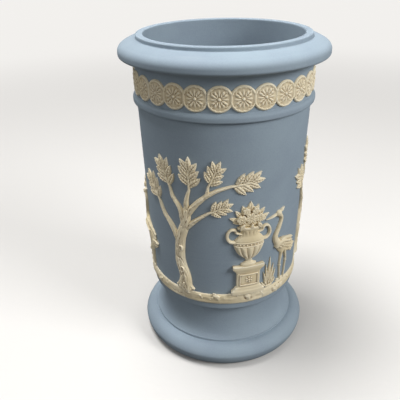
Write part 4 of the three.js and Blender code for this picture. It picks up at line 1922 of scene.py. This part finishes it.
@dataclass(frozen=True)
class Rushes(Motif):
    """Blades of rush between the urn and the bird. A blade is given by (across, turn, length)."""

    name: str = "reeds"
    node: str = "rushes"
    mould: Mould = Mould(grain=0.12, softening=1)
    middle: float = 25.6
    blade: LeafCut = LeafCut(
        length=17.5, half_width=1.15, height=1.15, widest=0.35, stalk=0.5, rib=0.45, veins=0.0)
    blades: tuple[Triple, ...] = ((-2, 104, 10), (-1, 97, 14), (0, 89, 17.5), (1, 80, 13), (2, 70, 9.5))
    blade_root: float = 0.5
    crowding: float = 0.6
    shoot: LeafCut = LeafCut(
        length=17.5, half_width=2.2, height=1.35, widest=0.35, stalk=0.5, rib=0.4, veins=0.0)
    shoots: tuple[float, ...] = (-1.9, -1.1, -0.2, 0.8, 1.8)
    shoot_root: float = 0.6
    shoot_size: float = 0.24
    shoot_spread: float = 22.0
    tuft: Stroke = Stroke(((-2.1, 0.7), (2.1, 0.7)), (0.8,), (1.2,))
    tuft_cut: StrokeCut = StrokeCut(grain=0.5, grain_width=0.9)

    def forms(self, shop: Workshop) -> list[Mesh]:
        """Cuts the blades and the tuft that they grow from.

        Args:
            shop: The workshop.

        Returns:
            The forms.
        """
        blades = [
            Mark(self.middle + out * self.crowding, self.blade_root, turn, length / self.blade.length)
            for out, turn, length in self.blades
        ]
        shoots = [
            Mark(self.middle + out, self.shoot_root, 90 - out * self.shoot_spread, self.shoot_size)
            for out in self.shoots
        ]
        return [
            shop.leaves.cut(blades, self.blade),
            shop.leaves.cut(shoots, self.shoot),
            shop.strokes.laid([self.tuft.moved(self.middle)], self.tuft_cut),
        ]


@dataclass(frozen=True)
class Lamp:
    """A square lamp that faces the vase: where it hangs and its side, in metres, and its watts."""

    name: str
    place: Triple
    size: float
    power: float


@dataclass(frozen=True)
class Studio:
    """A pale floor, soft lamps and the photograph's point of view."""

    floor_size: float = 6.0
    floor_colour: Colour = (214, 212, 209)
    floor_speck: Noise = Noise(300.0)
    floor_roughness: float = 0.9
    floor_specular: float = 0.2
    floor_grain: float = 0.0001
    bounce_colour: Colour = (92, 90, 88)
    backdrop_colour: Colour = (238, 236, 233)
    glow_range: Pair = (0.2, 0.9)
    ambient: float = 0.15
    lamps: tuple[Lamp, ...] = (
        Lamp("key", (0.62, -0.35, 0.52), 0.35, 5.2),
        Lamp("top", (-0.22, 0.05, 1.0), 0.45, 10.5),
        Lamp("fill", (-0.6, -0.7, 0.6), 0.6, 1.8),
    )
    aim: Triple = (0.0, 0.0, 0.09)
    place: Triple = (0.0, -0.2363, 0.2020)
    pitch: float = math.radians(27.84)
    yaw: float = math.radians(-3.04)
    roll: float = math.radians(-1.29)
    focal_pixels: float = 493.9
    photo_width: float = 400.0
    sensor: float = 36.0
    nearest: float = 0.01

    def camera(self) -> None:
        """Sets the camera where the photograph was taken from."""
        data = bpy.data.cameras.new("camera")
        data.sensor_width = self.sensor
        data.lens = self.focal_pixels / self.photo_width * self.sensor
        data.clip_start = self.nearest
        camera = bpy.data.objects.new("camera", data)
        bpy.context.scene.collection.objects.link(camera)
        flat = math.cos(self.pitch)
        forward = Vector((math.sin(self.yaw) * flat, math.cos(self.yaw) * flat, -math.sin(self.pitch)))
        level = Vector((math.cos(self.yaw), -math.sin(self.yaw), 0.0))
        upright = level.cross(forward)
        right = level * math.cos(self.roll) + upright * math.sin(self.roll)
        upward = upright * math.cos(self.roll) - level * math.sin(self.roll)
        turn = Matrix((right, upward, -forward)).transposed()
        camera.matrix_world = Matrix.Translation(Vector(self.place)) @ turn.to_4x4()
        bpy.context.scene.camera = camera

    def hang(self, lamp: Lamp) -> None:
        """Hangs a lamp.

        Args:
            lamp: The lamp.
        """
        data = bpy.data.lights.new(lamp.name, "AREA")
        data.size = lamp.size
        data.energy = lamp.power
        hung = bpy.data.objects.new(lamp.name, data)
        bpy.context.scene.collection.objects.link(hung)
        hung.location = lamp.place
        aim = Vector(self.aim) - Vector(lamp.place)
        hung.rotation_euler = aim.to_track_quat("-Z", "Y").to_euler()

    def world(self) -> None:
        """Lights the air softly. The camera and mirrors see it as the backdrop."""
        world = bpy.data.worlds.new("studio")
        bpy.context.scene.world = world
        world.use_nodes = True
        sketch = NodeSketch(world.node_tree)
        path = sketch.add("ShaderNodeLightPath")
        seen = sketch.maths("MAXIMUM", sketch.out(path, "Is Camera Ray"), sketch.out(path, "Is Glossy Ray"))
        seen = sketch.maths("MAXIMUM", seen, sketch.out(path, "Is Transmission Ray"))
        inputs = {"Factor": seen, "A": (self.ambient,) * 3, "B": linear(self.backdrop_colour)[:3]}
        colour = sketch.gives("ShaderNodeMix", inputs, data_type="VECTOR")
        sketch.feed(world.node_tree.nodes["Background"].inputs["Color"], colour)

    def floor(self) -> None:
        """Lays the floor. Far from the vase the camera sees it as the backdrop."""
        half = self.floor_size / 2
        corners = [(-half, -half, 0.0), (half, -half, 0.0), (half, half, 0.0), (-half, half, 0.0)]
        mesh = bpy.data.meshes.new("floor")
        mesh.from_pydata(corners, [], [(0, 1, 2, 3)])
        sketch = ShaderSketch("floor")
        x, y, _ = sketch.split(sketch.place())
        seen = sketch.out(sketch.add("ShaderNodeLightPath"), "Is Camera Ray")
        glow = seen * sketch.ramp(sketch.maths("SQRT", x * x + y * y), *self.glow_range)
        colour = sketch.mix(seen, self.bounce_colour, self.floor_colour)
        colour = sketch.mix(glow, colour, (0, 0, 0))
        speck = sketch.noise(sketch.place(), self.floor_speck)
        sketch.dress(colour, self.floor_roughness, speck, self.floor_grain, self.floor_specular)
        sketch.shader.inputs["Emission Color"].default_value = linear(self.backdrop_colour)
        sketch.feed(sketch.shader.inputs["Emission Strength"], glow)
        mesh.materials.append(sketch.material)
        floor = bpy.data.objects.new("floor", mesh)
        bpy.context.scene.collection.objects.link(floor)

    def build(self) -> None:
        """Sets the studio up."""
        self.camera()
        self.floor()
        self.world()
        for lamp in self.lamps:
            self.hang(lamp)
        bpy.context.scene.view_settings.view_transform = "Standard"


def sprays() -> list[LaurelSpray]:
    """The six sprays, one at the end of each bough.

    Returns:
        The sprays.
    """
    places = {
        "low_left": ((-34.5, 47), 125, 1.0),
        "high_left": ((-26.5, 56.5), 112, 1.0),
        "top": ((-16, 57.5), 90, 1.0),
        "middle": ((-6.8, 60), 66, 0.85),
        "right": ((3.5, 60.5), 8, 1.0),
        "low_right": ((-7, 46.5), 24, 0.78),
    }
    return [LaurelSpray(f"leaves_{place}", f"spray_{place}", *laid) for place, laid in places.items()]


def main() -> None:
    """Builds the vase piece by piece and sets it in the studio."""
    logging.basicConfig(level=logging.INFO, format="%(name)s: %(message)s")
    sizes = VaseSizes.from_frame()
    Studio().build()
    shop = Workshop(sizes)
    sections = (TurnedBody(sizes), TurnedFoot(sizes), RosetteBorder(sizes), GroundBand(sizes))
    motifs = (LaurelTree(), *sprays(), Plinth(), Urn(), Bouquet(), Crane(), Rushes())
    for section in sections + motifs:
        log.info("making %s", type(section).__name__)
        section.build(shop)


if __name__ == "__main__":
    main()
